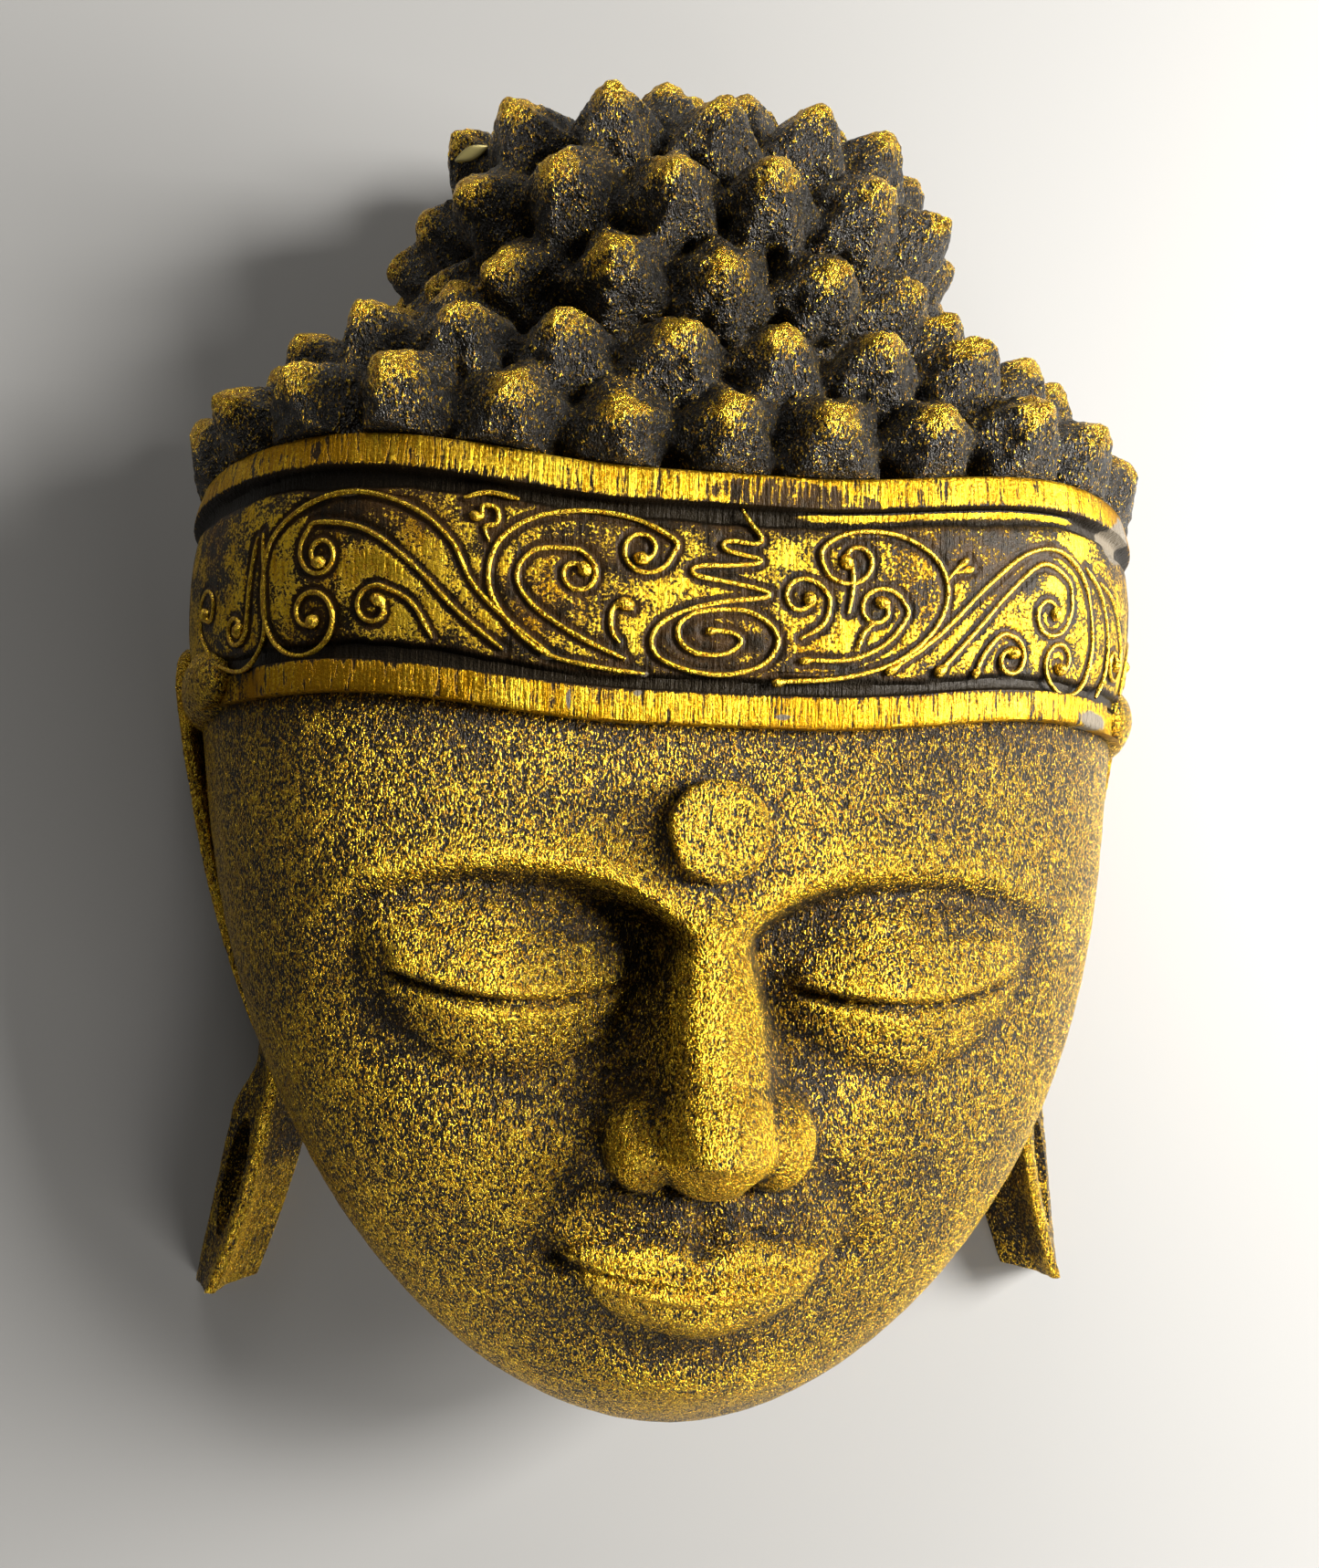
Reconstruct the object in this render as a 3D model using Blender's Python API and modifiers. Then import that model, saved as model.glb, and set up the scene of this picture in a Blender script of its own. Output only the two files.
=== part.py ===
# Carved wooden head mask with a headband, pointed hair knobs, a topknot and long ears.
# It lies on its flat back: X across the face, Y from chin to crown, Z out of the face. Metres.
import math
import random

import bmesh
import bpy
import numpy as np
from mathutils import Matrix, Vector

# The whole mask's height, from the chin to the tips of the topknot's knobs.
MASK_HEIGHT = 0.291

# Head block: an egg seen from the front, with its widest point level with the headband.
CHIN_Y = -MASK_HEIGHT / 2
WIDEST_Y = 0.025
HAIR_SHOULDER_Y = 0.087
HEAD_HALF_WIDTH = 0.107
HEAD_FRONT_Z = 0.0882
SIDE_EDGE_Z = 0.015
CHIN_EDGE_Z = 0.047
SIDE_UNDERCUT = 0.004
CHIN_UNDERCUT = 0.034

# How square the outlines are: 2 is an ellipse, more is squarer.
FACE_OUTLINE_POWER = 1.9
HAIR_OUTLINE_POWER = 2.3
TOPKNOT_OUTLINE_POWER = 3.5
EDGE_ROUNDING = 1.7

# Headband: two rims with a floor between them and a groove along each rim.
BAND_BOTTOM_Y = -0.0085
BAND_TOP_Y = 0.0385
BAND_BOW = 0.0055
RIM_WIDTH = 0.006
RIM_HEIGHT = 0.0034
BAND_FLOOR_HEIGHT = 0.0016
BAND_GROOVE_WIDTH = 0.0022
BAND_GROOVE_HEIGHT = 0.0004
BAND_SINK = 0.004
BAND_STATIONS = 25

# Forehead dot.
DOT_Y = -0.0275
DOT_RADIUS = 0.0095
DOT_HEIGHT = 0.0032
DOT_SIDES = 24

# Hair knobs, in rows that follow the headband.
KNOB_RADIUS = 0.0108
KNOB_HEIGHT = 0.0120
KNOB_PITCH = 0.0197
KNOB_SINK = 0.004
KNOB_SLOPE = 0.62
KNOB_SIDES = 6
HEAD_ROWS_Y = (0.0458, 0.0600)
SIDE_ROW_Y = 0.0740
SIDE_ROW_X = 0.056
LOWEST_KNOB = 0.0070
LEAST_ROW_GAP = 0.0135
LEAST_FILLING_GAP = 0.0152
FILLING_WALL_Z = (0.005, 0.012)
FILLING_SHARES = (0.998, 0.98, 0.95, 0.91, 0.86, 0.80)
KNOB_SEED = 5

# Topknot on the crown: with its knobs it reaches the mask's full height.
TOPKNOT_HALF_WIDTH = 0.057
TOPKNOT_RISE = 0.0505
TOPKNOT_Y = MASK_HEIGHT / 2 - KNOB_HEIGHT - TOPKNOT_RISE
TOPKNOT_FRONT_Z = 0.078
TOPKNOT_ROW_BOW = 0.008
TOPKNOT_ROWS = 3
TOPKNOT_LOWEST_ROW = -0.0035
TOPKNOT_ROW_GAP = 0.0175

# Ears: a ridge along each side of the head that ends in a long splayed lobe.
EAR_TOP_Y = 0.017
EAR_TOP_ROUNDING = 0.012
LOBE_START_Y = -0.078
LOBE_END_Y = -0.128
LOBE_BLEND = 0.010
EAR_RIDGE_Z = 0.024
LOBE_END_RIDGE_Z = 0.016
EAR_RIDGE_OUT = 0.0024
EAR_TOP_OUT = 0.0012
EAR_TOP_SPAN = (-0.025, 0.010)
EAR_LIP_OUT = 0.0018
EAR_FOOT_IN = 0.0080
EAR_EDGE = 0.0010
LOBE_RIDGE_X = 0.0860
LOBE_SPLAY = 0.0120
LOBE_LIP_X = 0.0930
LOBE_LIP_SPLAY = 0.0100
LOBE_INNER_X = 0.0780
LOBE_INNER_SPLAY = 0.0120
LOBE_LIP_Z = 0.017
LOBE_END_LIP_Z = 0.004
EAR_STATIONS = 22
SLOT_LENGTH = 0.028
SLOT_WIDTH = 0.0068
SLOT_DEPTH = 0.0050

# Hollow back.
WALL = 0.017
HOLLOW_FRONT_WALL = 0.021
HOLLOW_CENTRE_Y = 0.005
HOLLOW_CROWN_Y = 0.062
HOLLOW_CHIN_Y = -0.094

# Face canon: ten parts from the headband to the chin.
FACE_PARTS = 10
BROW_PARTS = 1.9
EYE_PARTS = 3.35
NOSE_PARTS = 6.0
MOUTH_PARTS = 7.3
EYE_WIDTH_SHARE = 0.172

# How finely the block is carved, and how many faces are kept.
CARVING_STEP = 0.0014
CARVED_TRIANGLES = 6300
BACK_STOCK = 0.010

HEAD = {
    "centre_y": WIDEST_Y,
    "half_width": HEAD_HALF_WIDTH,
    "up": HAIR_SHOULDER_Y - WIDEST_Y,
    "down": WIDEST_Y - CHIN_Y,
    "power_up": HAIR_OUTLINE_POWER,
    "power_down": FACE_OUTLINE_POWER,
    "front_z": HEAD_FRONT_Z,
    "edge_z": SIDE_EDGE_Z,
    "low_edge_z": CHIN_EDGE_Z,
    "undercut": SIDE_UNDERCUT,
    "low_undercut": CHIN_UNDERCUT,
    "fullness_up": 4.4,
    "fullness_down": 3.2,
}
TOPKNOT = {
    "centre_y": TOPKNOT_Y,
    "half_width": TOPKNOT_HALF_WIDTH,
    "up": TOPKNOT_RISE,
    "down": TOPKNOT_RISE,
    "power_up": TOPKNOT_OUTLINE_POWER,
    "power_down": TOPKNOT_OUTLINE_POWER,
    "front_z": TOPKNOT_FRONT_Z,
    "edge_z": SIDE_EDGE_Z,
    "low_edge_z": SIDE_EDGE_Z,
    "undercut": SIDE_UNDERCUT,
    "low_undercut": SIDE_UNDERCUT,
    "fullness_up": 2.7,
    "fullness_down": 2.7,
}
HOLLOW = {
    "centre_y": HOLLOW_CENTRE_Y,
    "half_width": HEAD_HALF_WIDTH - WALL,
    "up": HOLLOW_CROWN_Y - HOLLOW_CENTRE_Y,
    "down": HOLLOW_CENTRE_Y - HOLLOW_CHIN_Y,
    "power_up": HAIR_OUTLINE_POWER,
    "power_down": FACE_OUTLINE_POWER,
    "front_z": HEAD_FRONT_Z - HOLLOW_FRONT_WALL,
    "edge_z": 0.0,
    "low_edge_z": 0.0,
    "undercut": 0.0,
    "low_undercut": 0.0,
    "fullness_up": 2.4,
    "fullness_down": 2.4,
}


def smooth_step(low, high, value):
    """0 at low, 1 at high, with a soft rise between them."""
    share = np.clip((value - low) / (high - low), 0, 1)
    return share * share * (3 - 2 * share)


def bell(value, width):
    """1 at zero, falling to nothing a few widths away."""
    return np.exp(-((value / width) ** 2))


def dome(*shares):
    """A round swelling: 1 in the middle, 0 where the shares reach their edge."""
    return np.sqrt(np.clip(1 - sum(share**2 for share in shares), 0, 1))


def soft_max(a, b, blend):
    """The larger of two heights, with a soft join where they cross."""
    share = np.clip(0.5 + 0.5 * (a - b) / blend, 0, 1)
    return b + (a - b) * share + blend * share * (1 - share)


def outline_power(turn, block):
    """How square the outline is at an angle."""
    up = smooth_step(-0.15, 0.15, np.sin(turn))
    return block["power_down"] + (block["power_up"] - block["power_down"]) * up


def outline_radius(turn, block):
    """Distance from a block's centre to its outline, seen from the front, at an angle."""
    power = outline_power(turn, block)
    across = np.abs(np.cos(turn)) / block["half_width"]
    along = np.abs(np.sin(turn)) / np.where(np.sin(turn) > 0, block["up"], block["down"])
    return (across**power + along**power) ** (-1 / power)


def outline_half_width(y, block):
    """Half the width of a block's outline at a height."""
    reach = block["up"] if y > block["centre_y"] else block["down"]
    power = block["power_up"] if y > block["centre_y"] else block["power_down"]
    share = min(abs(y - block["centre_y"]) / reach, 1)
    return block["half_width"] * (1 - share**power) ** (1 / power)


def edge_height(turn, block):
    """Height of the outline above the back plane: higher under the chin than at the sides."""
    low = smooth_step(0.25, 1.0, -np.sin(turn))
    return block["edge_z"] + (block["low_edge_z"] - block["edge_z"]) * low


def front_height(x, y, block):
    """Height of the block's plain front at a place inside its outline."""
    turn = np.arctan2(y - block["centre_y"], x)
    share = np.hypot(x, y - block["centre_y"]) / outline_radius(turn, block)
    up = smooth_step(-0.3, 0.5, np.sin(turn))
    fullness = block["fullness_down"] + (block["fullness_up"] - block["fullness_down"]) * up
    edge = edge_height(turn, block)
    rise = np.clip(1 - np.clip(share, 0, 1) ** fullness, 0, 1) ** (1 / EDGE_ROUNDING)
    return edge + (block["front_z"] - edge) * rise


def side_point(turn, drop, block):
    """A place on the wall between the outline, at drop 0, and behind the back, at drop 1."""
    edge = edge_height(turn, block)
    low = smooth_step(0.25, 1.0, -np.sin(turn))
    undercut = block["undercut"] + (block["low_undercut"] - block["undercut"]) * low
    radius = outline_radius(turn, block) - undercut * drop**1.5
    x = radius * np.cos(turn)
    y = radius * np.sin(turn) + block["centre_y"]
    return np.stack([x, y, edge - (edge + BACK_STOCK) * drop], axis=-1)


def block_normals(points, block):
    """Outward directions at places on a block's front or wall."""
    x, y = points[:, 0], points[:, 1]
    local_y = y - block["centre_y"]
    turn = np.arctan2(local_y, x)
    share = np.clip(np.hypot(x, local_y) / outline_radius(turn, block), 0, 1)
    step = 0.0005
    run = 2 * step
    slope_x = (front_height(x + step, y, block) - front_height(x - step, y, block)) / run
    slope_y = (front_height(x, y + step, block) - front_height(x, y - step, block)) / run
    front = np.stack([-slope_x, -slope_y, np.ones_like(x)], axis=-1)
    front /= np.linalg.norm(front, axis=1)[:, None]
    reach = np.where(local_y > 0, block["up"], block["down"])
    power = outline_power(turn, block)[:, None] - 1
    across = np.sign(x) * (np.abs(x) / block["half_width"]) ** power[:, 0] / block["half_width"]
    along = np.sign(local_y) * (np.abs(local_y) / reach) ** power[:, 0] / reach
    wall = np.stack([across, along, np.zeros_like(x)], axis=-1)
    wall /= np.linalg.norm(wall, axis=1)[:, None] + 1e-9
    below_edge = smooth_step(0, SIDE_UNDERCUT, edge_height(turn, block) - points[:, 2])
    on_wall = np.maximum(smooth_step(0.93, 0.995, share), below_edge)[:, None]
    both = front * (1 - on_wall) + wall * on_wall
    return both / np.linalg.norm(both, axis=1)[:, None]


def band_bow(x):
    """How far the headband rises towards the temples."""
    return BAND_BOW * smooth_step(0.14, 0.70, np.abs(x) / HEAD_HALF_WIDTH)


def topknot_bow(x):
    """How far the topknot's rows rise towards its sides."""
    return TOPKNOT_ROW_BOW * (np.abs(x) / TOPKNOT_HALF_WIDTH) ** 2


# One part of the face canon, and the eye's width in parts.
PART = (BAND_BOTTOM_Y - CHIN_Y) / FACE_PARTS
EYE_WIDTH = 2 * HEAD_HALF_WIDTH * EYE_WIDTH_SHARE / PART


def brow_line(x):
    """The brow's edge: an arch from the nose's root, over the eye, to the temple."""
    from_peak = (np.sqrt(x**2 + 0.1) - 1.12 * EYE_WIDTH) / EYE_WIDTH
    outer = 0.766 * np.clip(from_peak, 0, 2) ** 2
    inner = 0.985 * np.clip(-from_peak, 0, 2) ** 3
    return -BROW_PARTS - outer - inner


def nose_half(y):
    """Half the width of the nose's ridge at a height."""
    along = np.clip((-BROW_PARTS - y) / (NOSE_PARTS - BROW_PARTS), 0, 1)
    return 0.547 - 0.161 * bell(along - 0.22, 0.22) + 0.146 * along**2


def socket_relief(x, y):
    """The hollow under each brow: deepest beside the nose, gone at the temple."""
    below = brow_line(x) - y
    edge = smooth_step(-0.06, 0.365, below)
    fade_down = 1 - smooth_step(0.88, 3.80, below)
    fade_out = 1 - smooth_step(1.15 * EYE_WIDTH, 2.05 * EYE_WIDTH, x)
    beside_nose = smooth_step(0.8, 1.9, x / nose_half(y))
    inner = 0.453 * bell(x - 0.34 * EYE_WIDTH, 0.40 * EYE_WIDTH)
    return -(0.336 + inner) * edge * fade_down * fade_out * beside_nose


def brow_relief(x, y):
    """A low ridge along the brow, running into the nose."""
    below = brow_line(x) - y
    fade_out = 1 - smooth_step(1.6 * EYE_WIDTH, 2.1 * EYE_WIDTH, x)
    return 0.102 * bell(below + 0.13, 0.263) * fade_out


def eye_relief(x, y):
    """A lowered lid over the eye's ball, with a long lash line and a low lid."""
    across = (x - 1.02 * EYE_WIDTH) / (0.60 * EYE_WIDTH)
    lash = -EYE_PARTS - 0.277 * (1 - across**2) + 0.073 * across
    ball = dome(across * 0.80, (y - lash - 0.255) / 1.255) ** 2.0
    ends = 1 - smooth_step(0.85, 1.06, np.abs(across))
    lid = smooth_step(-0.044, 0.044, y - lash) * bell(y - lash, 0.438) * ends
    crease = bell(y - lash + 0.029, 0.066) * ends
    low_lid = bell(y - lash + 0.219, 0.131) * ends
    fold = bell(y - lash - 0.912 + 0.292 * across**2, 0.073) * ends
    return 0.569 * ball + 0.080 * lid - 0.117 * crease + 0.044 * low_lid - 0.044 * fold


def nose_relief(x, y):
    """A straight nose with a rounded tip and two wings."""
    from_base = y + NOSE_PARTS
    along = np.clip((-BROW_PARTS - y) / (NOSE_PARTS - BROW_PARTS), -0.4, 1.1)
    height = 0.073 + 1.299 * np.clip(along, 0, 1.1) ** 1.2
    height = height * smooth_step(-0.30, 0.12, along)
    ridge = height * np.exp(-((x / (1.18 * nose_half(y))) ** 2.6))
    skirt = 0.30 * height * np.exp(-((x / (2.5 * nose_half(y))) ** 2.4))
    end = smooth_step(-0.073, 0.474, from_base)
    tip = 1.496 * dome(x / 0.876, (from_base - 0.657) / 0.876) ** 0.9
    wing = 0.891 * dome((x - 0.861) / 0.599, (from_base - 0.569) / 0.715)
    body = soft_max((ridge + skirt) * end, tip, 0.292)
    body = soft_max(body, wing, 0.219) - 0.058
    nostril = bell(x - 0.496, 0.219) * bell(from_base - 0.015, 0.161)
    return np.maximum(body, 0) - 0.117 * nostril


def mouth_relief(x, y):
    """Closed lips with slightly lifted corners, the groove above them and the chin below."""
    share = x / 1.912
    line = -MOUTH_PARTS - 0.044 + 0.248 * np.clip(share, 0, 1.2) ** 2.4
    from_line = y - line + 0.058 * bell(x, 0.438)
    across = np.clip(1 - share**2, 0, 1)
    top = 0.540 * across**0.75 - 0.102 * bell(x, 0.263)
    upper = dome((from_line - 0.36 * top) / (0.70 * top + 0.06)) ** 1.5 * across**0.50
    low_across = np.clip(1 - (share / 0.86) ** 2, 0, 1)
    fall = 0.672 * low_across**0.5
    lower = dome((from_line + 0.46 * fall) / (0.60 * fall + 0.06)) ** 1.5 * low_across**0.50
    parting = bell(from_line, 0.088) * (1 - smooth_step(0.95, 1.15, share))
    corner = bell(x - 2.065, 0.292) * bell(from_line - 0.029, 0.263)
    groove = bell(x, 0.204) * bell(from_line - 0.861, 0.336)
    ridges = bell(x - 0.336, 0.146) * bell(from_line - 0.861, 0.336)
    mound = bell(x, 2.190) * bell(from_line - 0.146, 1.460)
    under = bell(x, 1.241) * bell(from_line + 1.080, 0.336)
    chin = bell(x, 1.569) * bell(y + FACE_PARTS - 1.2, 0.861)
    lips = 0.300 * upper + 0.360 * lower
    around = 0.321 * mound - 0.190 * under + 0.380 * chin
    return lips + around - 0.131 * parting - 0.150 * corner - 0.088 * groove + 0.044 * ridges


def cheek_relief(x, y):
    """A soft fullness of the cheeks, and the fold from the nose's wing to the mouth."""
    full = 0.248 * bell(x - 3.358, 1.752) * bell(y + NOSE_PARTS - 0.9, 1.898)
    fold_y = y + NOSE_PARTS - 0.2
    fold_x = x - 1.642 + 0.55 * fold_y
    return full - 0.102 * bell(fold_x, 0.248) * bell(fold_y + 0.438, 0.766)


def face_relief(x, y):
    """Everything carved on the face, worked out in parts and faded out under the headband."""
    across = np.abs(x) / PART
    up = (y - BAND_BOTTOM_Y) / PART
    below = 1 - smooth_step(-0.15, 0.07, up - band_bow(x) / PART)
    flesh = socket_relief(across, up) + brow_relief(across, up) + eye_relief(across, up)
    flesh = flesh + mouth_relief(across, up) + cheek_relief(across, up)
    return PART * below * (flesh + nose_relief(across, up))


def new_object(name, mesh_data):
    """An object in the scene that holds this bmesh."""
    mesh = bpy.data.meshes.new(name)
    mesh_data.to_mesh(mesh)
    mesh_data.free()
    thing = bpy.data.objects.new(name, mesh)
    bpy.context.scene.collection.objects.link(thing)
    return thing


def make_block(name, block, sides, rings, with_face=False):
    """A block from a ball whose points are moved onto its front, its walls and its back."""
    ball = bmesh.new()
    bmesh.ops.create_uvsphere(ball, u_segments=sides, v_segments=rings, radius=1)
    directions = np.array([v.co for v in ball.verts])
    turn = np.arctan2(directions[:, 1], directions[:, 0])
    lift = np.arcsin(np.clip(directions[:, 2], -1, 1))
    radius = outline_radius(turn, block) * np.cos(np.maximum(lift, 0))
    x = radius * np.cos(turn)
    y = radius * np.sin(turn) + block["centre_y"]
    z = front_height(x, y, block)
    if with_face:
        z = z + face_relief(x, y) * smooth_step(0.0, 0.35, np.sin(np.maximum(lift, 0)))
    drop = np.clip(-lift / math.radians(60), 0, 1)
    wall = side_point(turn, drop, block)
    closing = np.clip((math.radians(90) + lift) / math.radians(30), 0, 1)
    wall[:, 0] *= closing
    wall[:, 1] = block["centre_y"] + (wall[:, 1] - block["centre_y"]) * closing
    points = np.where((lift >= 0)[:, None], np.stack([x, y, z], axis=-1), wall)
    for vertex, place in zip(ball.verts, points):
        vertex.co = place
    return new_object(name, ball)


def level_line(block, level, bow):
    """Half of the line at one level: from the middle over the front and down the wall."""
    half = outline_half_width(level + float(bow(block["half_width"])), block)
    x = half * np.sin(np.linspace(0, math.pi / 2, 200))
    y = level + bow(x)
    front = np.stack([x, y, front_height(x, y, block)], axis=-1)
    turn = math.atan2(y[-1] - block["centre_y"], half)
    wall = side_point(np.full(40, turn), np.linspace(0, 1, 40), block)
    return np.concatenate([front, wall[1:]])


def along_line(line, stops):
    """Places at given distances along a line, and the line's whole length."""
    steps = np.linalg.norm(np.diff(line, axis=0), axis=1)
    run = np.concatenate([[0], np.cumsum(steps)])
    if stops is None:
        return run[-1]
    return np.stack([np.interp(stops, run, line[:, axis]) for axis in range(3)], axis=-1)


def row_places(block, level, bow, pitch, offset):
    """Places a pitch apart along one level of a block, both sides, down to the outline."""
    line = level_line(block, level, bow)
    line = line[line[:, 2] >= block["edge_z"]]
    stops = np.arange(offset * pitch, along_line(line, None), pitch)
    half_row = along_line(line, stops)
    mirrored = half_row[half_row[:, 0] > 0.001] * np.array([-1, 1, 1])
    return np.concatenate([half_row, mirrored])


def arc_places(block, share, pitch):
    """Places a pitch apart round a block's front, at a share of the way to its outline."""
    turns = np.linspace(0, math.pi, 400)
    radius = share * outline_radius(turns, block)
    x = radius * np.cos(turns)
    y = radius * np.sin(turns) + block["centre_y"]
    line = np.stack([x, y, front_height(x, y, block)], axis=-1)
    return along_line(line, np.arange(0, along_line(line, None), pitch))


def wall_places(block, height, pitch):
    """Places a pitch apart along a block's wall, at a height above the back plane."""
    turns = np.linspace(0, math.pi, 400)
    drop = (block["edge_z"] - height) / (block["edge_z"] + BACK_STOCK)
    line = side_point(turns, np.full_like(turns, drop), block)
    return along_line(line, np.arange(0, along_line(line, None), pitch))


def inside_block(places, block, margin):
    """Which places lie inside a block by more than a margin."""
    x, y = places[:, 0], places[:, 1] - block["centre_y"]
    radius = outline_radius(np.arctan2(y, x), block)
    within = np.hypot(x, y) < radius - margin
    below = places[:, 2] < front_height(places[:, 0], places[:, 1], block) - margin
    return within & below


def spread_out(places, least):
    """The indices of places that keep their least distance from every place before them."""
    kept = []
    for index, place in enumerate(places):
        if all(np.linalg.norm(place - places[other]) > least[index] for other in kept):
            kept.append(index)
    return kept


def knob_places():
    """Every hair knob's place and direction: the rows first, then knobs that fill the gaps."""
    found = []
    for index, level in enumerate(HEAD_ROWS_Y):
        places = row_places(HEAD, level, band_bow, KNOB_PITCH, 0.5 * (index % 2))
        found.append((places, HEAD, LEAST_ROW_GAP))
    side_row = row_places(HEAD, SIDE_ROW_Y, band_bow, KNOB_PITCH, 0.25)
    found.append((side_row[np.abs(side_row[:, 0]) > SIDE_ROW_X], HEAD, LEAST_ROW_GAP))
    for index in range(TOPKNOT_ROWS):
        level = TOPKNOT_Y + TOPKNOT_LOWEST_ROW + index * TOPKNOT_ROW_GAP
        places = row_places(TOPKNOT, level, topknot_bow, KNOB_PITCH, 0.5 * (index % 2))
        found.append((places, TOPKNOT, LEAST_ROW_GAP))
    for height in FILLING_WALL_Z:
        for block in (TOPKNOT, HEAD):
            found.append((wall_places(block, height, KNOB_PITCH / 5), block, LEAST_FILLING_GAP))
    for share in FILLING_SHARES:
        for block in (TOPKNOT, HEAD):
            found.append((arc_places(block, share, KNOB_PITCH / 5), block, LEAST_FILLING_GAP))
    places, normals, least = [], [], []
    for group, block, gap in found:
        other = TOPKNOT if block is HEAD else HEAD
        over_band = group[:, 1] - band_bow(group[:, 0]) > BAND_TOP_Y + LOWEST_KNOB
        group = group[over_band & ~inside_block(group, other, -0.003)]
        places.append(group)
        normals.append(block_normals(group, block))
        least.append(np.full(len(group), gap))
    places, normals, least = [np.concatenate(lists) for lists in (places, normals, least)]
    kept = spread_out(places, least)
    return places[kept], normals[kept]


def make_knob(name, place, direction, radius, height, twist):
    """One pointed knob: a many-sided ball drawn out to a blunt tip."""
    ball = bmesh.new()
    bmesh.ops.create_uvsphere(ball, u_segments=KNOB_SIDES, v_segments=8, radius=1)
    for vertex in ball.verts:
        rise = max(vertex.co.z, 0)
        level = math.sqrt(max(1 - rise**2, 1e-6))
        slim = radius * (KNOB_SLOPE * (1 - rise) / level + 1 - KNOB_SLOPE)
        vertex.co.x *= slim
        vertex.co.y *= slim
        vertex.co.z = rise * height if rise else -KNOB_SINK
    turn = Vector(direction).to_track_quat("Z", "Y").to_matrix().to_4x4()
    ball.transform(Matrix.Translation(Vector(place)) @ turn @ Matrix.Rotation(twist, 4, "Z"))
    return new_object(name, ball)


def loft(name, sections):
    """A closed solid through cross-sections that have equal numbers of points."""
    skin = bmesh.new()
    rings = [[skin.verts.new(point) for point in section] for section in sections]
    for near, far in zip(rings, rings[1:]):
        for index in range(len(near)):
            after = (index + 1) % len(near)
            skin.faces.new((near[index], near[after], far[after], far[index]))
    skin.faces.new(rings[0])
    skin.faces.new(rings[-1])
    bmesh.ops.recalc_face_normals(skin, faces=skin.faces)
    return new_object(name, skin)


def band_profile():
    """The headband's cross-section: levels and heights over the plain head."""
    low, high = BAND_BOTTOM_Y, BAND_TOP_Y
    groove = RIM_WIDTH + BAND_GROOVE_WIDTH
    soft = 0.13 * RIM_WIDTH
    floor = groove + soft
    half = [
        (0.0, -BAND_SINK),
        (0.0, RIM_HEIGHT - soft),
        (soft, RIM_HEIGHT),
        (RIM_WIDTH - soft, RIM_HEIGHT),
        (RIM_WIDTH, RIM_HEIGHT - soft),
        (1.05 * RIM_WIDTH, BAND_GROOVE_HEIGHT),
        (groove, BAND_GROOVE_HEIGHT),
        (floor, BAND_FLOOR_HEIGHT),
    ]
    lower = [(low + across, height) for across, height in half]
    upper = [(high - across, height) for across, height in reversed(half)]
    return lower + upper


def make_band():
    """The headband, from behind one ear over the front to behind the other."""
    columns = []
    for level, height in band_profile():
        line = level_line(HEAD, level, band_bow)
        half = along_line(line, np.linspace(0, 1, BAND_STATIONS) * along_line(line, None))
        half = half + block_normals(half, HEAD) * height
        mirrored = half[:0:-1] * np.array([-1, 1, 1])
        columns.append(np.concatenate([mirrored, half]))
    sections = np.stack(columns, axis=1)
    return loft("band", [[tuple(point) for point in section] for section in sections])


def make_dot():
    """The round dot on the forehead, set square to the forehead."""
    soft = 0.25 * DOT_HEIGHT
    rings = (
        (DOT_RADIUS, -BAND_SINK),
        (DOT_RADIUS, DOT_HEIGHT - soft),
        (DOT_RADIUS - soft, DOT_HEIGHT),
    )
    place = np.array([[0.0, DOT_Y, float(front_height(0.0, DOT_Y, HEAD) + face_relief(0.0, DOT_Y))]])
    normal = Vector(block_normals(place, HEAD)[0])
    turn = normal.to_track_quat("Z", "Y").to_matrix()
    sections = []
    for radius, height in rings:
        section = []
        for step in range(DOT_SIDES):
            angle = math.tau * step / DOT_SIDES
            local = Vector((radius * math.cos(angle), radius * math.sin(angle), height))
            section.append(tuple(turn @ local + Vector(place[0])))
        sections.append(section)
    return loft("dot", sections)


def ear_marks(y):
    """The ear's ridge, its outer lip and its inner foot at a height: each an (x, z) pair."""
    side = outline_half_width(y, HEAD)
    rounding = max(y - (EAR_TOP_Y - EAR_TOP_ROUNDING), 0) / EAR_TOP_ROUNDING
    rise = math.sqrt(max(1 - rounding**2, 0.04))
    ridge_x = side + EAR_RIDGE_OUT + EAR_TOP_OUT * float(smooth_step(*EAR_TOP_SPAN, y))
    ridge_z = EAR_RIDGE_Z * rise
    ear = np.array([ridge_x, ridge_z, ridge_x + EAR_LIP_OUT, 0.62 * ridge_z, side - EAR_FOOT_IN, 0])
    share = np.clip((LOBE_START_Y - y) / (LOBE_START_Y - LOBE_END_Y), 0, 1)
    lobe = np.array([
        LOBE_RIDGE_X + LOBE_SPLAY * share**1.8,
        EAR_RIDGE_Z + (LOBE_END_RIDGE_Z - EAR_RIDGE_Z) * share**1.5,
        LOBE_LIP_X + LOBE_LIP_SPLAY * share,
        LOBE_LIP_Z + (LOBE_END_LIP_Z - LOBE_LIP_Z) * share,
        LOBE_INNER_X + LOBE_INNER_SPLAY * share**1.5,
        0,
    ])
    blend = float(smooth_step(LOBE_START_Y + LOBE_BLEND, LOBE_START_Y - LOBE_BLEND, y))
    marks = ear * (1 - blend) + lobe * blend
    return marks[0:2], marks[2:4], marks[4:6]


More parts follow.
